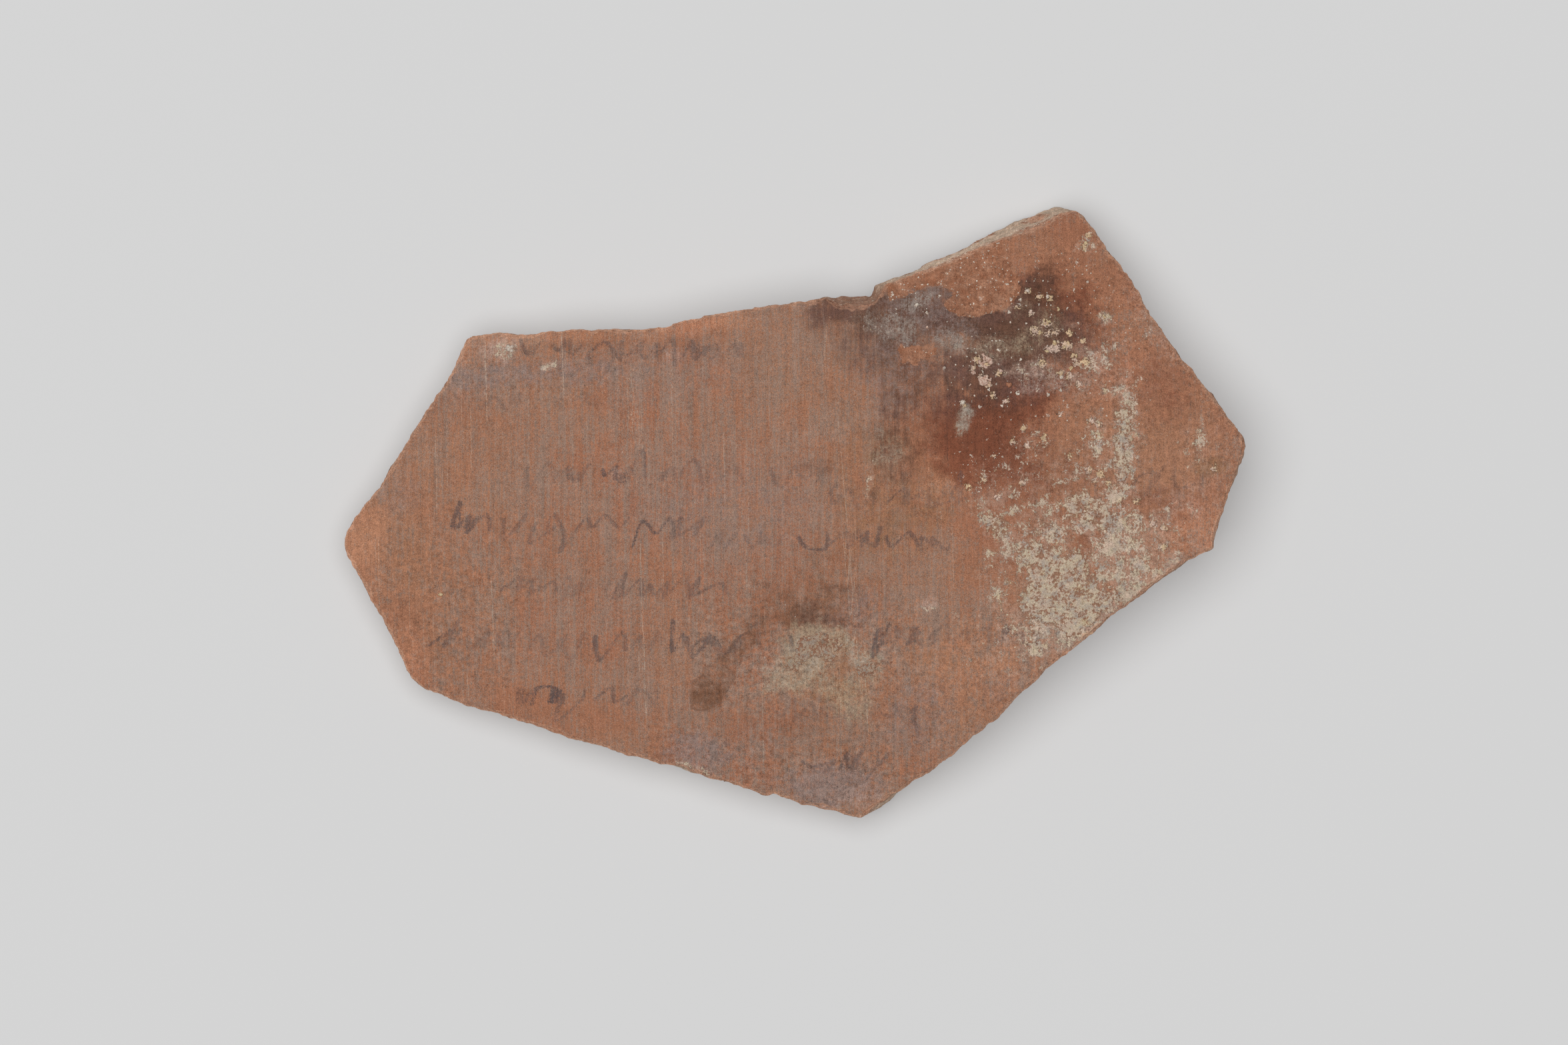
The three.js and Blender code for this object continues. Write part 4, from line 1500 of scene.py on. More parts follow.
@dataclass(frozen=True)
class ClayFinish:
    """Fired clay with a thin grey wash, its stains and films, the lime haze on it, the faded ink and painted
    light on the break and along the arris.
    """

    red: Colour = linear(155, 103, 78)
    tan: Colour = linear(158, 112, 86)
    wash: Colour = linear(145, 118, 103)
    dark: Colour = linear(88, 60, 46)
    purple: Colour = linear(97, 69, 61)
    crimson: Colour = linear(114, 66, 47)
    brown: Colour = linear(108, 74, 54)
    ochre: Colour = linear(138, 100, 72)
    grey: Colour = linear(158, 148, 138)
    olive: Colour = linear(162, 142, 118)
    lilac: Colour = linear(136, 118, 112)
    pale: Colour = linear(182, 150, 136)
    lime: Colour = linear(196, 178, 160)
    film: Colour = linear(184, 154, 136)
    ink: Colour = linear(80, 70, 70)
    paste: Colour = linear(160, 116, 92)
    paste_red: Colour = linear(148, 97, 71)
    core: Colour = linear(186, 164, 142)
    inside: Colour = linear(156, 116, 92)
    dust: Colour = linear(208, 180, 158)
    # worn: pale of the rubbed arris, used also as painted light on the top of the break and along the arris
    worn: Colour = linear(190, 144, 118)
    white: Colour = linear(216, 206, 192)
    cream: Colour = linear(198, 170, 136)
    rosy: Colour = linear(196, 170, 154)
    pore: Colour = linear(82, 58, 50)
    lime_tones: LimeTones = LimeTones()

    def make(self) -> Material:
        """Returns the clay's material.

        Returns:
            The material.
        """
        bench = Bench("fired_clay")
        on_face = bench.attribute("on_face")
        spalled = bench.patches(bench.attribute("spall"), -0.14, 0.18, (0.7, 1.3, 4, 0.65), (2.6, 1.3))
        colour = self._filmed(bench, self._stained(bench, self._washed(bench)))
        bared = bench.patches(1.0, 0.35, 0.95, (1.3, 2.4, 3))
        colour = bench.lay(colour, self._paste(bench), spalled, bared)
        colour = self._scored(bench, self._inked(bench, colour, spalled))
        colour, lime = self._limed(bench, colour)
        # Pale band on the face along the arris: partly the rubbed arris, where the wash is worn off, and
        # partly a painted highlight along the edge
        rim = bench.patches(bench.attribute("rim"), 0.6, 1.0, (0.5, 0.6, 3), (6.0, 0.9))
        colour = bench.lay(colour, self.worn, rim, 0.55)
        colour = self._grained(bench, bench.mix(on_face, self._broken(bench), colour))
        normal = bench.bump(self._relief(bench, lime, spalled, on_face))
        return bench.finish(colour, 0.88, 0.2, Normal=normal)

    def _washed(self, bench: Bench) -> Socket:
        """Returns the clay's red and tan with the broken grey wash over it.

        Args:
            bench: Where the nodes go.

        Returns:
            The colour.
        """
        base = bench.mix(bench.patches(0.5, 0.0, 1.0, (24.0, 2.2, 3)), self.red, self.tan)
        cover = bench.plus(
            0.52, bench.streak(0.34, 1.7, 9.0), bench.streak(1.3, 1.0, 26.0), bench.swing(6.0, 1.2, 3),
            bench.swing(0.9, 0.8), bench.swing(0.3, 1.7, 1),
            bench.times(bench.layer(Layer.MOTTLE), bench.swing(1.1, 2.4, 3)),
            bench.times(bench.layer(Layer.BARE), -0.7),
        )
        return bench.mix(bench.step(cover, -0.1, 1.1), base, self.wash)

    def _stained(self, bench: Bench, colour: Socket) -> Socket:
        """Returns the colour under its tints and stains.

        Args:
            bench: Where the nodes go.
            colour: What lies under them.

        Returns:
            The colour.
        """
        fine = bench.sway(bench.swing(0.5, 1.5, 4, 0.7), (1.9, 1.3, 3))
        colour = self._broken_up(bench, colour, self.ochre, Layer.OCHRE, fine, 0.9)
        colour = self._broken_up(bench, colour, self.crimson, Layer.CRIMSON, fine, 0.95)
        edge = bench.sway(bench.attribute("brown_edge"), (0.6, 0.9, 3))
        hard = bench.times(bench.step(edge, -0.10, 0.16), bench.plus(0.36, bench.swing(2.0, 0.5), fine))
        colour = bench.mix(hard, colour, self.brown)
        line = bench.times(bench.step(edge, -0.12, 0.05), bench.step(edge, 0.5, 0.1), 0.35)
        colour = bench.lay(colour, self.pore, line, bench.step(bench.swing(1.6, 2.0), -0.3, 0.5))
        colour = self._broken_up(bench, colour, self.brown, Layer.BROWN, fine, 0.75)
        shade = bench.mix(bench.patches(0.5, 0.0, 1.0, (7.0, 2.6)), self.dark, self.purple)
        streaked = bench.plus(fine, bench.streak(0.4, 0.9, 7.0))
        return self._broken_up(bench, colour, shade, Layer.DARK, streaked, 0.92)

    @staticmethod
    def _broken_up(
        bench: Bench, colour: Socket, tint: Value, layer: Layer, swing: Socket, strength: float
    ) -> Socket:
        """Lays a layer over a colour and breaks it up where it is neither full nor empty.

        Args:
            bench: Where the nodes go.
            colour: What lies under it.
            tint: Its colour.
            layer: The layer.
            swing: What breaks it up.
            strength: How strong it is where it is full.

        Returns:
            The colour.
        """
        cover = bench.layer(layer)
        loose = bench.times(cover, bench.less(1.0, cover), 2.6)
        loose = bench.plus(loose, bench.times(cover, 0.25))
        share = bench.plus(cover, bench.times(loose, swing))
        return bench.lay(colour, tint, bench.step(share, 0.0, 1.0), strength)

    def _filmed(self, bench: Bench, colour: Socket) -> Socket:
        """Returns the colour under its lilac, olive, grey and pale films.

        Args:
            bench: Where the nodes go.
            colour: What lies under them.

        Returns:
            The colour.
        """
        fine = bench.sway(bench.swing(0.42, 3.0, 4, 0.8), (1.5, 1.6))
        fine = bench.plus(fine, bench.streak(0.3, 0.9, 5.0))
        for layer, tint, strength in (
            (Layer.LILAC, self.lilac, 0.75), (Layer.OLIVE, self.olive, 0.75),
            (Layer.GREY, self.grey, 0.7), (Layer.PALE, self.pale, 0.75),
        ):
            colour = self._broken_up(bench, colour, tint, layer, fine, strength)
        return colour

    def _paste(self, bench: Bench) -> Socket:
        """Returns bare clay paste with its temper.

        Args:
            bench: Where the nodes go.

        Returns:
            The colour.
        """
        paste = bench.mix(bench.patches(0.5, 0.0, 1.0, (1.6, 2.4, 4)), self.paste_red, self.paste)
        paste = bench.tone(paste, bench.sway(0.96, (0.45, 0.75, 4, 0.7), (1.4, 0.3), (3.4, 0.5)))
        return bench.speckle(
            paste,
            (self.dust, 0.5, (1.3, 0.36, 0.35)), (self.rosy, 0.6, (2.4, 0.5, 0.3, 0.7)),
            (self.white, 0.9, (0.6, 0.17, 0.5)), (self.crimson, 0.5, (1.6, 0.2, 0.3)),
        )

    def _inked(self, bench: Bench, colour: Socket, spalled: Socket) -> Socket:
        """Returns the colour with what is left of the ink.

        Args:
            bench: Where the nodes go.
            colour: What lies under them.
            spalled: 1 where the face has flaked away.

        Returns:
            The colour.
        """
        body = bench.patches(bench.attribute("ink_edge"), 0.09, -0.15, (0.26, 0.8, 3))
        worn = bench.plus(0.62, bench.swing(0.2, 1.6), bench.streak(0.3, 1.0, 4.0), bench.swing(5.0, 1.6))
        left = bench.times(bench.attribute("ink_load"), bench.step(worn, 0.0, 0.9))
        return bench.lay(colour, self.ink, body, left, bench.less(1.0, spalled))

    def _scored(self, bench: Bench, colour: Socket) -> Socket:
        """Returns the colour with its thin pale and dark lines.

        Args:
            bench: Where the nodes go.
            colour: What lies under them.

        Returns:
            The colour.
        """
        for name, tint, width, strength in (
            ("pale", self.lime, 0.085, 0.55), ("dark", self.pore, 0.07, 0.7),
        ):
            side = bench.sway(bench.attribute(f"{name}_side"), (1.6, 0.12))
            body = bench.step(bench.math("ABSOLUTE", side, 0.0), width, width * 0.3)
            broken = bench.patches(0.55, 0.1, 0.7, (0.5, 2.2, 3))
            colour = bench.lay(colour, tint, body, broken, bench.attribute(f"{name}_load"), strength)
        return colour

    def _limed(self, bench: Bench, colour: Socket) -> tuple[Socket, Socket]:
        """Lays the lime haze, its crumbs, the white grains and the small dots over the colour.

        Args:
            bench: Where the nodes go.
            colour: What lies under them.

        Returns:
            The colour, and how much lime stands on the face.
        """
        haze = bench.layer(Layer.HAZE)
        film = bench.patches(bench.times(haze, 1.3), 0.45, 1.15, (2.4, 1.6, 3), (0.5, 1.9, 4, 0.7))
        colour = bench.lay(colour, self.film, film, bench.step(haze, 0.02, 0.3), 0.38)
        lace = bench.sway(0.5, (3.0, 1.5, 5, 0.65), (0.9, 0.9, 3, 0.65), (0.36, 0.9, 3, 0.7), (0.2, 0.55, 1))
        lace = bench.plus(lace, bench.streak(0.5, 0.4, 3.0))
        rise = bench.less(lace, bench.less(1.04, bench.times(haze, 0.78)))
        cover = bench.times(bench.step(rise, -0.03, 0.12), bench.step(haze, 0.02, 0.2))
        colour = bench.lay(colour, self.lime_tones.colour(bench), cover, 0.92)
        heap = bench.layer(Layer.CREAM)
        crumbs = bench.times(bench.patches(heap, 0.5, 0.66, (0.34, 3.2, 3)), bench.step(heap, 0.05, 0.3))
        crumb = bench.mix(bench.patches(0.5, 0.2, 0.8, (2.4, 3.0)), self.cream, self.rosy)
        colour = bench.lay(colour, bench.tone(crumb, bench.sway(0.98, (0.3, 0.7))), crumbs, 0.9)
        many = bench.layer(Layer.GRAINS)
        big = bench.times(bench.dots(1.5, 0.34, 0.5), bench.step(many, 0.1, 0.8))
        small = bench.times(bench.dots(0.62, 0.16, 0.5), bench.step(many, 0.0, 0.6))
        grains = bench.math("MAXIMUM", big, small, bench.times(bench.dots(1.6, 0.10, 0.5), 0.8))
        colour = bench.speckle(
            bench.lay(colour, self.white, grains, 0.75),
            (self.pore, 0.7, (0.8, 0.085, 0.5)), (self.crimson, 0.62, (1.8, 0.2, 0.4)),
            (self.red, 0.5, (3.1, 0.36, 0.3, 0.7)),
        )
        return colour, bench.math("MAXIMUM", cover, grains, bench.times(crumbs, 4.0))

    def _broken(self, bench: Bench) -> Socket:
        """Returns the break's red skins and grey core, lightened with painted light, and the dusty inside of
        the jar.

        Args:
            bench: Where the nodes go.

        Returns:
            The colour.
        """
        depth = bench.sway(bench.attribute("wall_depth"), (2.2, 0.3, 3))
        # The core layer also carries painted light on the top-right break: there it raises both the pale
        # core and the dust
        core = bench.layer(Layer.CORE)
        between = bench.times(bench.step(depth, 0.16, 0.30), bench.step(depth, 0.90, 0.78))
        shown = bench.plus(bench.times(core, 0.68), 0.22)
        broken = bench.lay(self._paste(bench), self.core, between, shown)
        dusty = bench.patches(0.5, 0.1, 0.9, (0.9, 2.4, 4))
        broken = bench.lay(broken, self.dust, dusty, bench.plus(0.45, bench.times(core, 0.4)))
        broken = bench.lay(broken, self.white, bench.dots(0.5, 0.17, 0.55), 0.75)
        broken = bench.lay(broken, self.pore, bench.dots(1.0, 0.2, 0.35), core, 0.6)
        # Painted light: the top of the break next to the face, which lies in shade, is lightened with the
        # pale of the worn arris
        broken = bench.lay(broken, self.worn, bench.step(depth, 0.14, 0.02), 0.8)
        # Painted light: the whole break is made about a fifth lighter, for the light that its steep sides
        # don't get
        broken = bench.tone(broken, bench.sway(1.22, (1.2, 0.5, 3)))
        broken = bench.lay(broken, self.crimson, bench.step(bench.layer(Layer.DARK), 0.1, 0.5), 0.35)
        rills = bench.step(bench.plus(0.5, bench.streak(2.4, 2.4, 40.0)), 0.0, 1.0)
        inner = bench.mix(rills, self.inside, self.tan)
        inner = bench.lay(inner, self.dust, bench.patches(0.3, 0.0, 0.8, (6.0, 2.6, 4)), 0.6)
        inner = bench.lay(inner, self.lime, bench.dots(1.4, 0.22, 0.4), 0.6)
        return bench.mix(bench.attribute("on_inside"), broken, inner)

    @staticmethod
    def _grained(bench: Bench, colour: Socket) -> Socket:
        """Returns the colour with the clay's fine grain, its wear and painted light along the top edges.

        Args:
            bench: Where the nodes go.
            colour: What has no grain yet.

        Returns:
            The colour.
        """
        mottled = bench.sway(bench.swing(0.8, 0.85), (0.36, 0.55, 1))
        grain = bench.plus(
            bench.sway(0.985, (0.11, 0.85, 0), (0.22, 0.55, 1), (0.5, 0.40, 1), (1.6, 0.26, 1)),
            bench.streak(0.16, 0.36, 5.0), bench.streak(0.7, 0.34, 18.0),
            bench.times(bench.layer(Layer.MOTTLE), mottled),
        )
        # Lighter where worn, and painted light along the top edges
        light = bench.plus(1.0, bench.times(bench.layer(Layer.LIGHT), 0.34))
        return bench.tone(colour, bench.times(grain, light))

    @staticmethod
    def _relief(bench: Bench, lime: Socket, spalled: Socket, on_face: Socket) -> Socket:
        """Returns the height of the fine relief.

        Args:
            bench: Where the nodes go.
            lime: How much lime stands on the face.
            spalled: 1 where the face has flaked away.
            on_face: 1 on the written face.

        Returns:
            The height.
        """
        lines = bench.plus(bench.streak(0.3, 0.05, 14.0), bench.streak(1.1, 0.05, 40.0))
        rough = bench.math("MAXIMUM", spalled, bench.less(1.0, on_face))
        return bench.plus(
            bench.times(lines, on_face), bench.swing(0.18, 0.05),
            bench.times(bench.dots(1.7, 0.14, 0.4), -0.05), bench.times(lime, 0.035),
            bench.times(rough, bench.swing(0.7, 0.24, 3)),
        )


@dataclass(frozen=True)
class CrustFinish:
    """Dull, porous lime, tinted by the clay that it holds."""

    name: str = "lime_crust"
    tones: LimeTones = LimeTones()
    clay: Colour = linear(136, 94, 72)

    def make(self) -> Material:
        """Returns the crust's material.

        Returns:
            The material.
        """
        bench = Bench(self.name)
        thin = bench.step(bench.attribute("thickness"), 0.6, 0.0)
        level = bench.plus(0.11, bench.times(thin, 0.35))
        stained = bench.patches(level, 0.1, 0.45, (0.42, 2.8, 4, 0.7), (2.2, 1.1))
        tone = bench.lay(self.tones.colour(bench), self.clay, stained, 0.85)
        tone = bench.tone(tone, bench.sway(0.97, (0.11, 1.0, 0), (0.3, 0.5)))
        height = bench.sway(bench.swing(0.25, 0.08, 3), (0.9, 0.08))
        return bench.finish(tone, 0.95, 0.15, Normal=bench.bump(height))


class Tone(Enum):
    """The colours that nodules come in: where they are clean, and in their soiled hollows."""

    PINK = (linear(204, 178, 162), linear(160, 118, 100))
    CREAM = (linear(202, 182, 146), linear(170, 134, 98))
    WHITE = (linear(206, 196, 182), linear(168, 140, 124))
    RUST = (linear(166, 114, 86), linear(136, 88, 66))

    def make(self) -> Material:
        """Returns the material for nodules of this tone.

        Returns:
            The material.
        """
        clean, soiled = self.value
        bench = Bench(f"lime_nodule_{self.name.lower()}")
        soil = bench.patches(0.4, 0.1, 0.9, (0.3, 2.6, 3))
        colour = bench.tone(bench.mix(soil, clean, soiled), bench.sway(1.0, (0.11, 0.7, 0)))
        return bench.finish(colour, 0.75, 0.3, Normal=bench.bump(bench.swing(0.18, 0.08)))


def skin_points(skin: Skin) -> np.ndarray:
    """Returns the places of a skin's vertices."""
    skin.verts.ensure_lookup_table()
    return np.array([vert.co[:] for vert in skin.verts])


def top_tree(piece: Piece) -> BVHTree:
    """Returns a search tree of the piece's mesh.

    Args:
        piece: The piece.

    Returns:
        The tree.
    """
    skin = bmesh.new()
    skin.from_mesh(piece.data)
    tree = BVHTree.FromBMesh(skin)
    skin.free()
    return tree


def height_under(tree: BVHTree, x: float, y: float, above: float) -> float:
    """Returns the height of the surface straight below a place in plan."""
    hit = tree.ray_cast(Vector((x, y, above)), Vector((0.0, 0.0, -1.0)))[0]
    return hit.z if hit else 0.0


@dataclass
class CrustPatch:
    """One patch of crust: a thin plate with a ragged edge and holes down to the clay.

    Attributes:
        name: Last word of its node's name.
        edge: Its rough outline.
        open_share: How open its lace is.
        dusky: Whether it is of the darker lime.
        cell: Size of its squares before they are drawn in to the edge.
        margin: How far the lace may reach past its solid's box.
        most: Full thickness over the clay.
        least: Thickness of the rim.
        sunk: How deep its underside lies in the clay.
        fade_mm: Distance from the outline over which the lace thins out.
        level_share: How full the lace is before its holes are cut.
        slope_share: Height of the lace's swing over which the plate reaches its full thickness.
        lump_shares: Mean thickness, and how much the lumps add to it, by the full one.
    """

    name: str
    edge: Outline
    open_share: float = 0.5
    dusky: bool = False
    cell: float = 0.16 * MM
    margin: float = 0.7 * MM
    lump_size: float = 0.9 * MM
    most: float = 0.14 * MM
    least: float = 0.02 * MM
    sunk: float = 0.06 * MM
    fade_mm: float = 1.1
    level_share: float = 0.25
    slope_share: float = 0.6
    lump_shares: Span = (0.8, 0.3)
    swing_sizes: tuple[float, ...] = (1.5 * MM, 0.6 * MM, 0.3 * MM)
    swing_gains: tuple[float, ...] = (0.75, 0.8, 0.55)

    def build(self, plan: PhotoPlan, clay: BVHTree) -> Piece:
        """Builds the plate on the clay, closed below.

        Args:
            plan: Ties pixels to the model.
            clay: Search tree of the clay's skin.

        Returns:
            The plate.
        """
        low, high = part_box(f"lime_crust_{self.name}")
        sizes = [high[axis] - low[axis] + 2 * self.margin for axis in (0, 1)]
        middle = Vector(((low[0] + high[0]) / 2, (low[1] + high[1]) / 2, 0.0))
        squares = [max(4, round(size / self.cell)) for size in sizes]
        skin = bmesh.new()
        bmesh.ops.create_grid(skin, x_segments=squares[0], y_segments=squares[1], size=0.5)
        bmesh.ops.scale(skin, vec=(*sizes, 1.0), verts=skin.verts)
        bmesh.ops.translate(skin, vec=middle, verts=skin.verts)
        self._cut_lace(skin, plan)
        self._raise(skin, plan, clay, 2 * plan.high.z)
        mesh = made_mesh(skin, f"crust_{self.name}")
        set_smooth(mesh)
        log.info("%s: %d faces", mesh.name, len(mesh.polygons))
        return new_object(mesh.name, mesh)

    def _lace(self, skin: Skin, plan: PhotoPlan) -> np.ndarray:
        """Returns how far inside the lace each vertex lies, negative in its holes.

        Args:
            skin: The plate's skin.
            plan: Ties pixels to the model.

        Returns:
            One number a vertex.
        """
        points = skin_points(skin)
        depth = self.edge.depth_inside(plan.pixels(points)) * plan.pixel_mm
        flat = points * np.array((1.0, 1.0, 0.0))
        within = np.clip(depth / self.fade_mm, -1.0, 0.75)
        swing = layered(flat, self.swing_sizes, self.swing_gains, 21.0)
        return within + swing - self.open_share + self.level_share

    def _cut_lace(self, skin: Skin, plan: PhotoPlan) -> None:
        """Deletes what is outside the lace and draws its rim in to the edge.

        Args:
            skin: The plate's skin.
            plan: Ties pixels to the model.
        """
        inside = self._lace(skin, plan) > 0.0
        gone = [face for face in skin.faces if not any(inside[vert.index] for vert in face.verts)]
        bmesh.ops.delete(skin, geom=gone, context="FACES")
        self._drop_crumbs(skin)
        rise = self._lace(skin, plan)
        moved = {}
        for vert in skin.verts:
            mates = [edge.other_vert(vert) for edge in vert.link_edges]
            mates = [mate for mate in mates if rise[mate.index] > 0.0]
            if mates and rise[vert.index] <= 0.0:
                mate = max(mates, key=lambda other: rise[other.index])
                share = rise[vert.index] / (rise[vert.index] - rise[mate.index])
                moved[vert] = vert.co.lerp(mate.co, min(0.9, share))
        for vert, place in moved.items():
            vert.co = place

    @staticmethod
    def _drop_crumbs(skin: Skin, fewest: int = 5) -> None:
        """Deletes scraps of only a few faces.

        Args:
            skin: The plate's skin.
            fewest: Fewest faces that a scrap needs to stay.
        """
        left = set(skin.faces)
        gone = []
        while left:
            island = [left.pop()]
            for face in island:
                near = {other for edge in face.edges for other in edge.link_faces if other in left}
                left -= near
                island += near
            if len(island) < fewest:
                gone += island
        bmesh.ops.delete(skin, geom=gone, context="FACES")

    def _raise(self, skin: Skin, plan: PhotoPlan, clay: BVHTree, above: float) -> None:
        """Lays the lace on the clay and gives it its thickness.

        Args:
            skin: The plate's skin.
            plan: Ties pixels to the model.
            clay: Search tree of the clay's skin.
            above: Height from which the clay is looked for.
        """
        layer = skin.verts.layers.float.new("thickness")
        rise = self._lace(skin, plan)
        lumps = uneven(skin_points(skin), self.lump_size, 24.0)
        mean, lump = self.lump_shares
        base = list(skin.verts)
        for vert in base:
            full = min(1.0, max(0.0, rise[vert.index]) / self.slope_share)
            share = 0.0 if vert.is_boundary else full
            vert[layer] = share * (mean + lump * lumps[vert.index])
        made = bmesh.ops.extrude_face_region(skin, geom=list(skin.faces), use_keep_orig=True)
        raised = [item for item in made["geom"] if isinstance(item, bmesh.types.BMVert)]
        mates = {(round(vert.co.x, 7), round(vert.co.y, 7)): vert for vert in raised}
        for vert in base:
            mate = mates.get((round(vert.co.x, 7), round(vert.co.y, 7)))
            if mate is None:
                continue
            ground = height_under(clay, vert.co.x, vert.co.y, above)
            mate.co.z = ground + self.least + self.most * vert[layer]
            mate[layer] = vert[layer]
            vert.co.z = ground - self.sunk
        bmesh.ops.recalc_face_normals(skin, faces=skin.faces)


CRUSTS = (
    CrustPatch("main", Outline((
        (1524, 826), (1545, 812), (1567, 815), (1593, 826), (1624, 832), (1639, 865), (1651, 884),
        (1674, 880), (1685, 899), (1658, 918), (1632, 945), (1601, 958), (1578, 937), (1547, 930),
        (1524, 914), (1536, 884), (1540, 853),
    )), 0.50),
    CrustPatch("upper", Outline((
        (1597, 742), (1632, 734), (1658, 754), (1674, 780), (1666, 803), (1639, 792), (1612, 784),
        (1593, 769),
    )), 0.75),
    CrustPatch("column", Outline((
        (1676, 618), (1692, 616), (1697, 640), (1690, 660), (1684, 680), (1692, 705), (1690, 735),
        (1678, 727), (1670, 700), (1672, 670), (1676, 645),
    )), 0.22),
    CrustPatch("left", Outline((
        (1475, 776), (1505, 769), (1524, 792), (1509, 811), (1486, 807),
    )), 0.80),
    CrustPatch("middle", Outline((
        (1536, 794), (1563, 776), (1584, 784), (1581, 802), (1555, 803),
    )), 0.75),
    CrustPatch("lower", Outline((
        (1200, 952), (1232, 946), (1260, 956), (1267, 975), (1248, 994), (1219, 988), (1206, 1000),
        (1187, 1013), (1174, 1000), (1187, 981),
    )), 0.74, dusky=True),
    CrustPatch("corner", Outline((
        (1283, 996), (1300, 990), (1315, 1000), (1313, 1017), (1295, 1020), (1282, 1010),
    )), 0.70, dusky=True),
)


@dataclass
class Nodule:
    """One grain, or a small cluster of grains, that stands on the face.

    Attributes:
        number: Its node's number.
        grains: How many grains it is made of.
        grain_share: Least and greatest radius of a grain, by half the nodule's width.
        squash_shares: Least and greatest share that a grain keeps of its width.
        height_shares: Least and greatest share of the dome's height at which a grain sits.
        dome_share: Height of the dome's middle, by the nodule's.
        fall_share: How much lower the dome is at its edge.
        flat_share: Greatest height of a grain, by the nodule's.
        voxel: Size of its skin's squares.
        ragged: How uneven its skin is, as a share of its least grain.
    """

    number: int
    grains: int = 7
    grain_share: Span = (0.32, 0.52)
    squash_shares: Span = (0.75, 1.1)
    height_shares: Span = (0.5, 1.1)
    dome_share: float = 0.42
    fall_share: float = 0.3
    flat_share: float = 0.6
    voxel: float = 0.06 * MM
    ragged: float = 0.16
    seed: int = 900

    def build(self) -> Piece:
        """Builds the nodule over its solid.

        Returns:
            The nodule.
        """
        low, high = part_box(f"lime_nodule_{self.number:02d}")
        middle = (Vector(low) + Vector(high)) / 2
        reach = Vector(high) - Vector(low)
        half = 0.5 * min(reach.x, reach.y)
        draw = random.Random(self.seed + self.number)
        skin = bmesh.new()
        for _ in range(self.grains):
            size = half * draw.uniform(*self.grain_share)
            angle = draw.uniform(0, 2 * math.pi)
            away = (half - size) * math.sqrt(draw.uniform(0.0, 1.0))
            dome = reach.z * (self.dome_share - self.fall_share * (away / half) ** 2)
            dome *= draw.uniform(*self.height_shares)
            place = Matrix.Translation((
                middle.x + away * math.cos(angle) * reach.x / (2 * half),
                middle.y + away * math.sin(angle) * reach.y / (2 * half),
                low[2] + dome,
            ))
            widths = [draw.uniform(*self.squash_shares) for _ in (0, 1)]
            squash = Matrix.Diagonal((*widths, min(1.0, self.flat_share * reach.z / size), 1.0))
            turned = place @ Matrix.Rotation(angle, 4, "Z") @ squash
            bmesh.ops.create_icosphere(skin, subdivisions=2, radius=size, matrix=turned)
        mesh = made_mesh(skin, f"nodule_{self.number:02d}")
        piece = new_object(mesh.name, mesh)
        remeshed(piece, self.voxel)
        points = vertex_array(piece.data)
        size = self.grain_share[0] * reach.x / 2
        swing = uneven(points, size, float(self.number)) + 0.6 * uneven(points, size / 2.3, 31.0)
        points += normal_array(piece.data) * (self.ragged * size * swing)[:, None]
        move_vertices(piece.data, points)
        set_smooth(piece.data)
        return piece


NODULE_TONES = {
    Tone.PINK: (1, 2, 3, 18, 20, 23),
    Tone.WHITE: (4, 10, 11, 17, 21, 22, 24, 25, 26, 27),
    Tone.CREAM: (5, 6, 7, 8, 9, 12, 13, 14, 15, 16, 28),
    Tone.RUST: (19,),
}
BIG_NODULES = (1, 2, 5, 17)


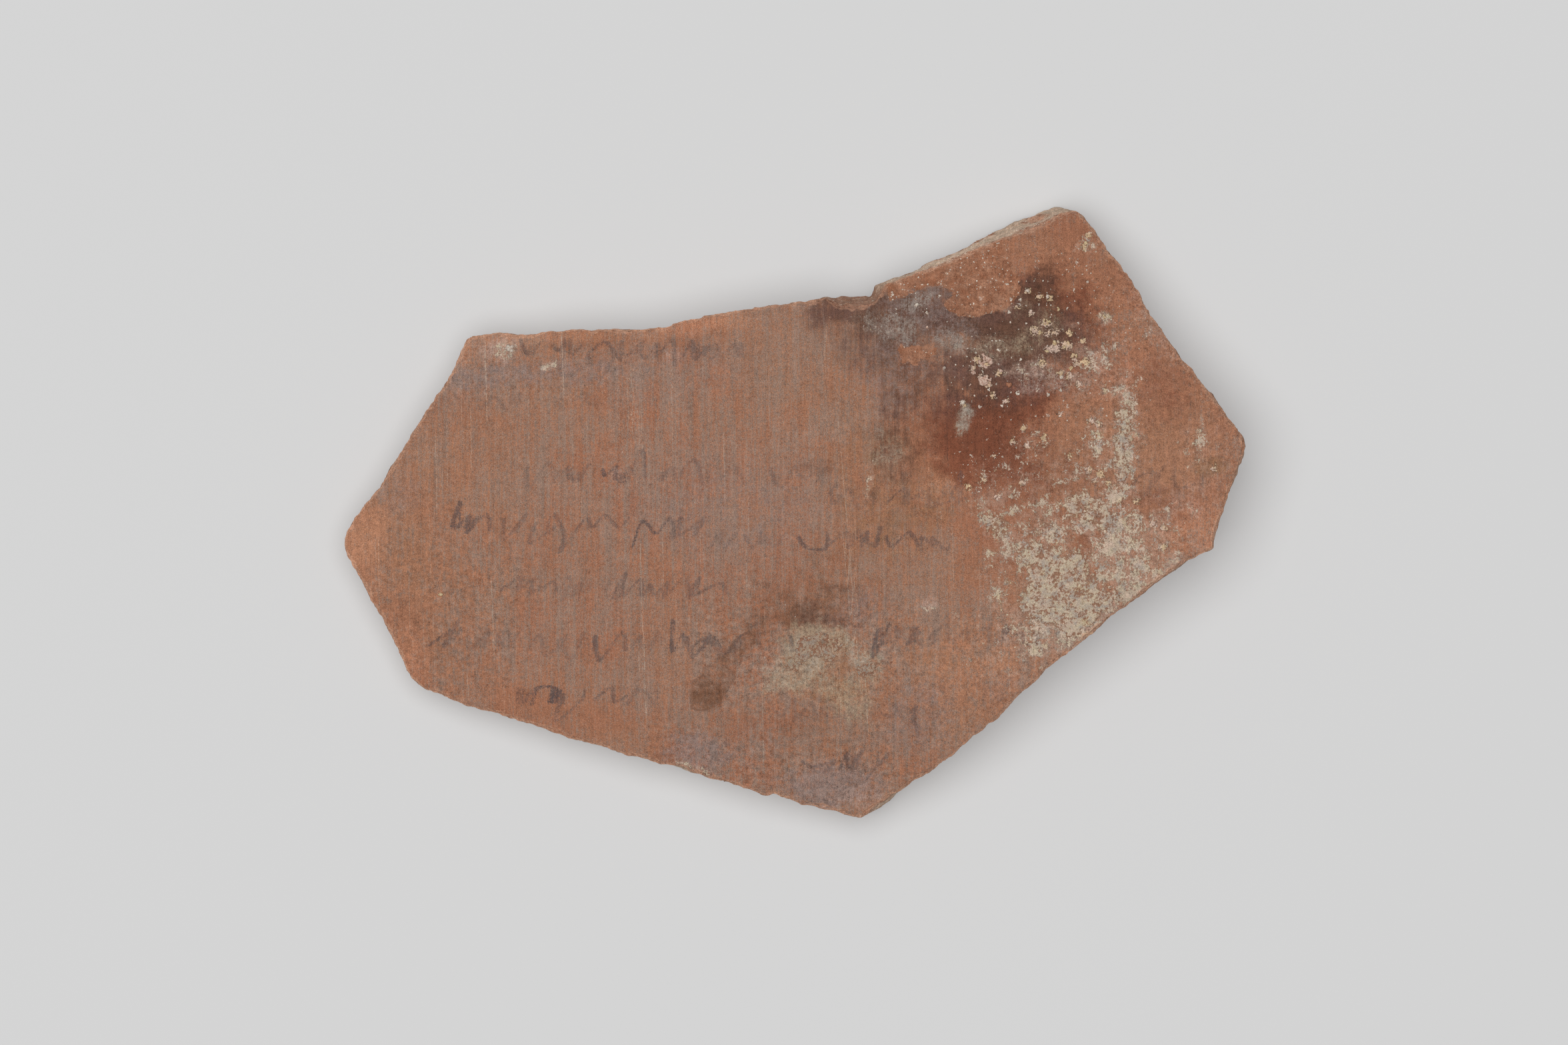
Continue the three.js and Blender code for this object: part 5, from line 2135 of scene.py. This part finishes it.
@dataclass
class Studio:
    """A pale floor, one broad soft lamp and a camera straight above.

    Attributes:
        plan: Ties pixels to the model.
        room_share: Share of a plain level of light that comes from all round.
        lamp_share: Share that the lamp lays on the floor by itself.
        glow_share: Share of the floor's light that is its own.
        lamp_place: Where the lamp hangs.
        lamp_size: How wide it is.
        far: Distance up to which the camera sees.
        face_share: Height of the written face, by the whole height.
    """

    plan: PhotoPlan
    floor_grey: Colour = linear(212, 212, 212)
    floor_size: float = 6.0
    room_share: float = 0.14
    lamp_share: float = 0.86
    glow_share: float = 0.28
    lamp_place: tuple[float, float, float] = (-0.30, 0.10, 2.6)
    lamp_size: float = 2.9
    lens: float = 300.0
    sensor: float = 36.0
    far: float = 20.0
    face_share: float = 0.75

    def build(self) -> None:
        """Builds the floor, the lamp, the even light of the room and the camera."""
        self._floor()
        self._lamp()
        world = bpy.data.worlds.new("room")
        world.use_nodes = True
        back = world.node_tree.nodes["Background"]
        back.inputs["Color"].default_value = (1.0, 1.0, 1.0, 1.0)
        back.inputs["Strength"].default_value = self.room_share
        bpy.context.scene.world = world
        self._camera()

    def _floor(self) -> None:
        """Lays the floor under the object: an opal table that is lit a little from below."""
        skin = bmesh.new()
        bmesh.ops.create_grid(skin, x_segments=2, y_segments=2, size=self.floor_size / 2)
        floor = new_object("floor", made_mesh(skin, "floor"))
        bench = Bench("floor_paper")
        lit = tuple(value * (1.0 - self.glow_share) for value in self.floor_grey)
        glow = {"Emission_Color": self.floor_grey, "Emission_Strength": self.glow_share}
        floor.data.materials.append(bench.finish(lit, 1.0, 0.0, **glow))
        floor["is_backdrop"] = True

    def _lamp(self) -> None:
        """Hangs the lamp, with the power that gives its share of the light."""
        away = Vector(self.lamp_place)
        radius = self.lamp_size / 2
        spread = radius**2 / (radius**2 + away.length_squared)
        slope = away.z / away.length
        data = bpy.data.lights.new("overhead", "AREA")
        data.shape = "DISK"
        data.size = self.lamp_size
        data.energy = self.lamp_share / (spread * slope) * math.pi * (math.pi * radius**2)
        lamp = bpy.data.objects.new("overhead", data)
        lamp.location = away
        lamp.rotation_euler = away.to_track_quat("Z", "Y").to_euler()
        bpy.context.scene.collection.objects.link(lamp)

    def _camera(self) -> None:
        """Hangs the camera so that the photograph's frame covers the same ground."""
        data = bpy.data.cameras.new("copy_stand")
        data.lens = self.lens
        data.sensor_width = self.sensor
        data.clip_end = self.far
        camera = bpy.data.objects.new("copy_stand", data)
        face_height = self.plan.high.z * self.face_share
        frame_width = self.plan.width_px * self.plan.pixel
        x, y = self.plan.spot(self.plan.width_px / 2, self.plan.height_px / 2)
        camera.location = (x, y, face_height + frame_width * self.lens / self.sensor)
        bpy.context.scene.collection.objects.link(camera)
        bpy.context.scene.camera = camera


def enrol(piece: Piece, node: str, finish: Material) -> None:
    """Gives a piece its finish and body, and hides the node that it stands for.

    Args:
        piece: The piece.
        node: The node.
        finish: Its finish.
    """
    piece.data.materials.clear()
    piece.data.materials.append(finish)
    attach(piece, BODY)
    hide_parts(node)
    log.info("%s stands for %s", piece.name, node)


def main() -> None:
    """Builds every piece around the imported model."""
    logging.basicConfig(level=logging.INFO, format="%(name)s: %(message)s")
    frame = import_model()
    cad_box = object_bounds()
    plan = PhotoPlan(Vector(cad_box[0]), Vector(cad_box[1]))
    bpy.context.scene.view_settings.view_transform = "Standard"
    clay = SherdClay(plan, frame["nodes"]["sherd"]).build()
    enrol(clay, "sherd", ClayFinish().make())
    ground = top_tree(clay)
    pale_crust = CrustFinish().make()
    dusky_crust = CrustFinish("dusky_crust", DUSKY_TONES).make()
    for patch in CRUSTS:
        finish = dusky_crust if patch.dusky else pale_crust
        enrol(patch.build(plan, ground), f"lime_crust_{patch.name}", finish)
    finishes = {}
    for tone, numbers in NODULE_TONES.items():
        finishes |= dict.fromkeys(numbers, tone.make())
    for number in sorted(finishes):
        nodule = Nodule(number)
        if number in BIG_NODULES:
            nodule = Nodule(number, grains=26, grain_share=(0.16, 0.26))
        enrol(nodule.build(), f"lime_nodule_{number:02d}", finishes[number])
    Studio(plan).build()


if __name__ == "__main__":
    main()
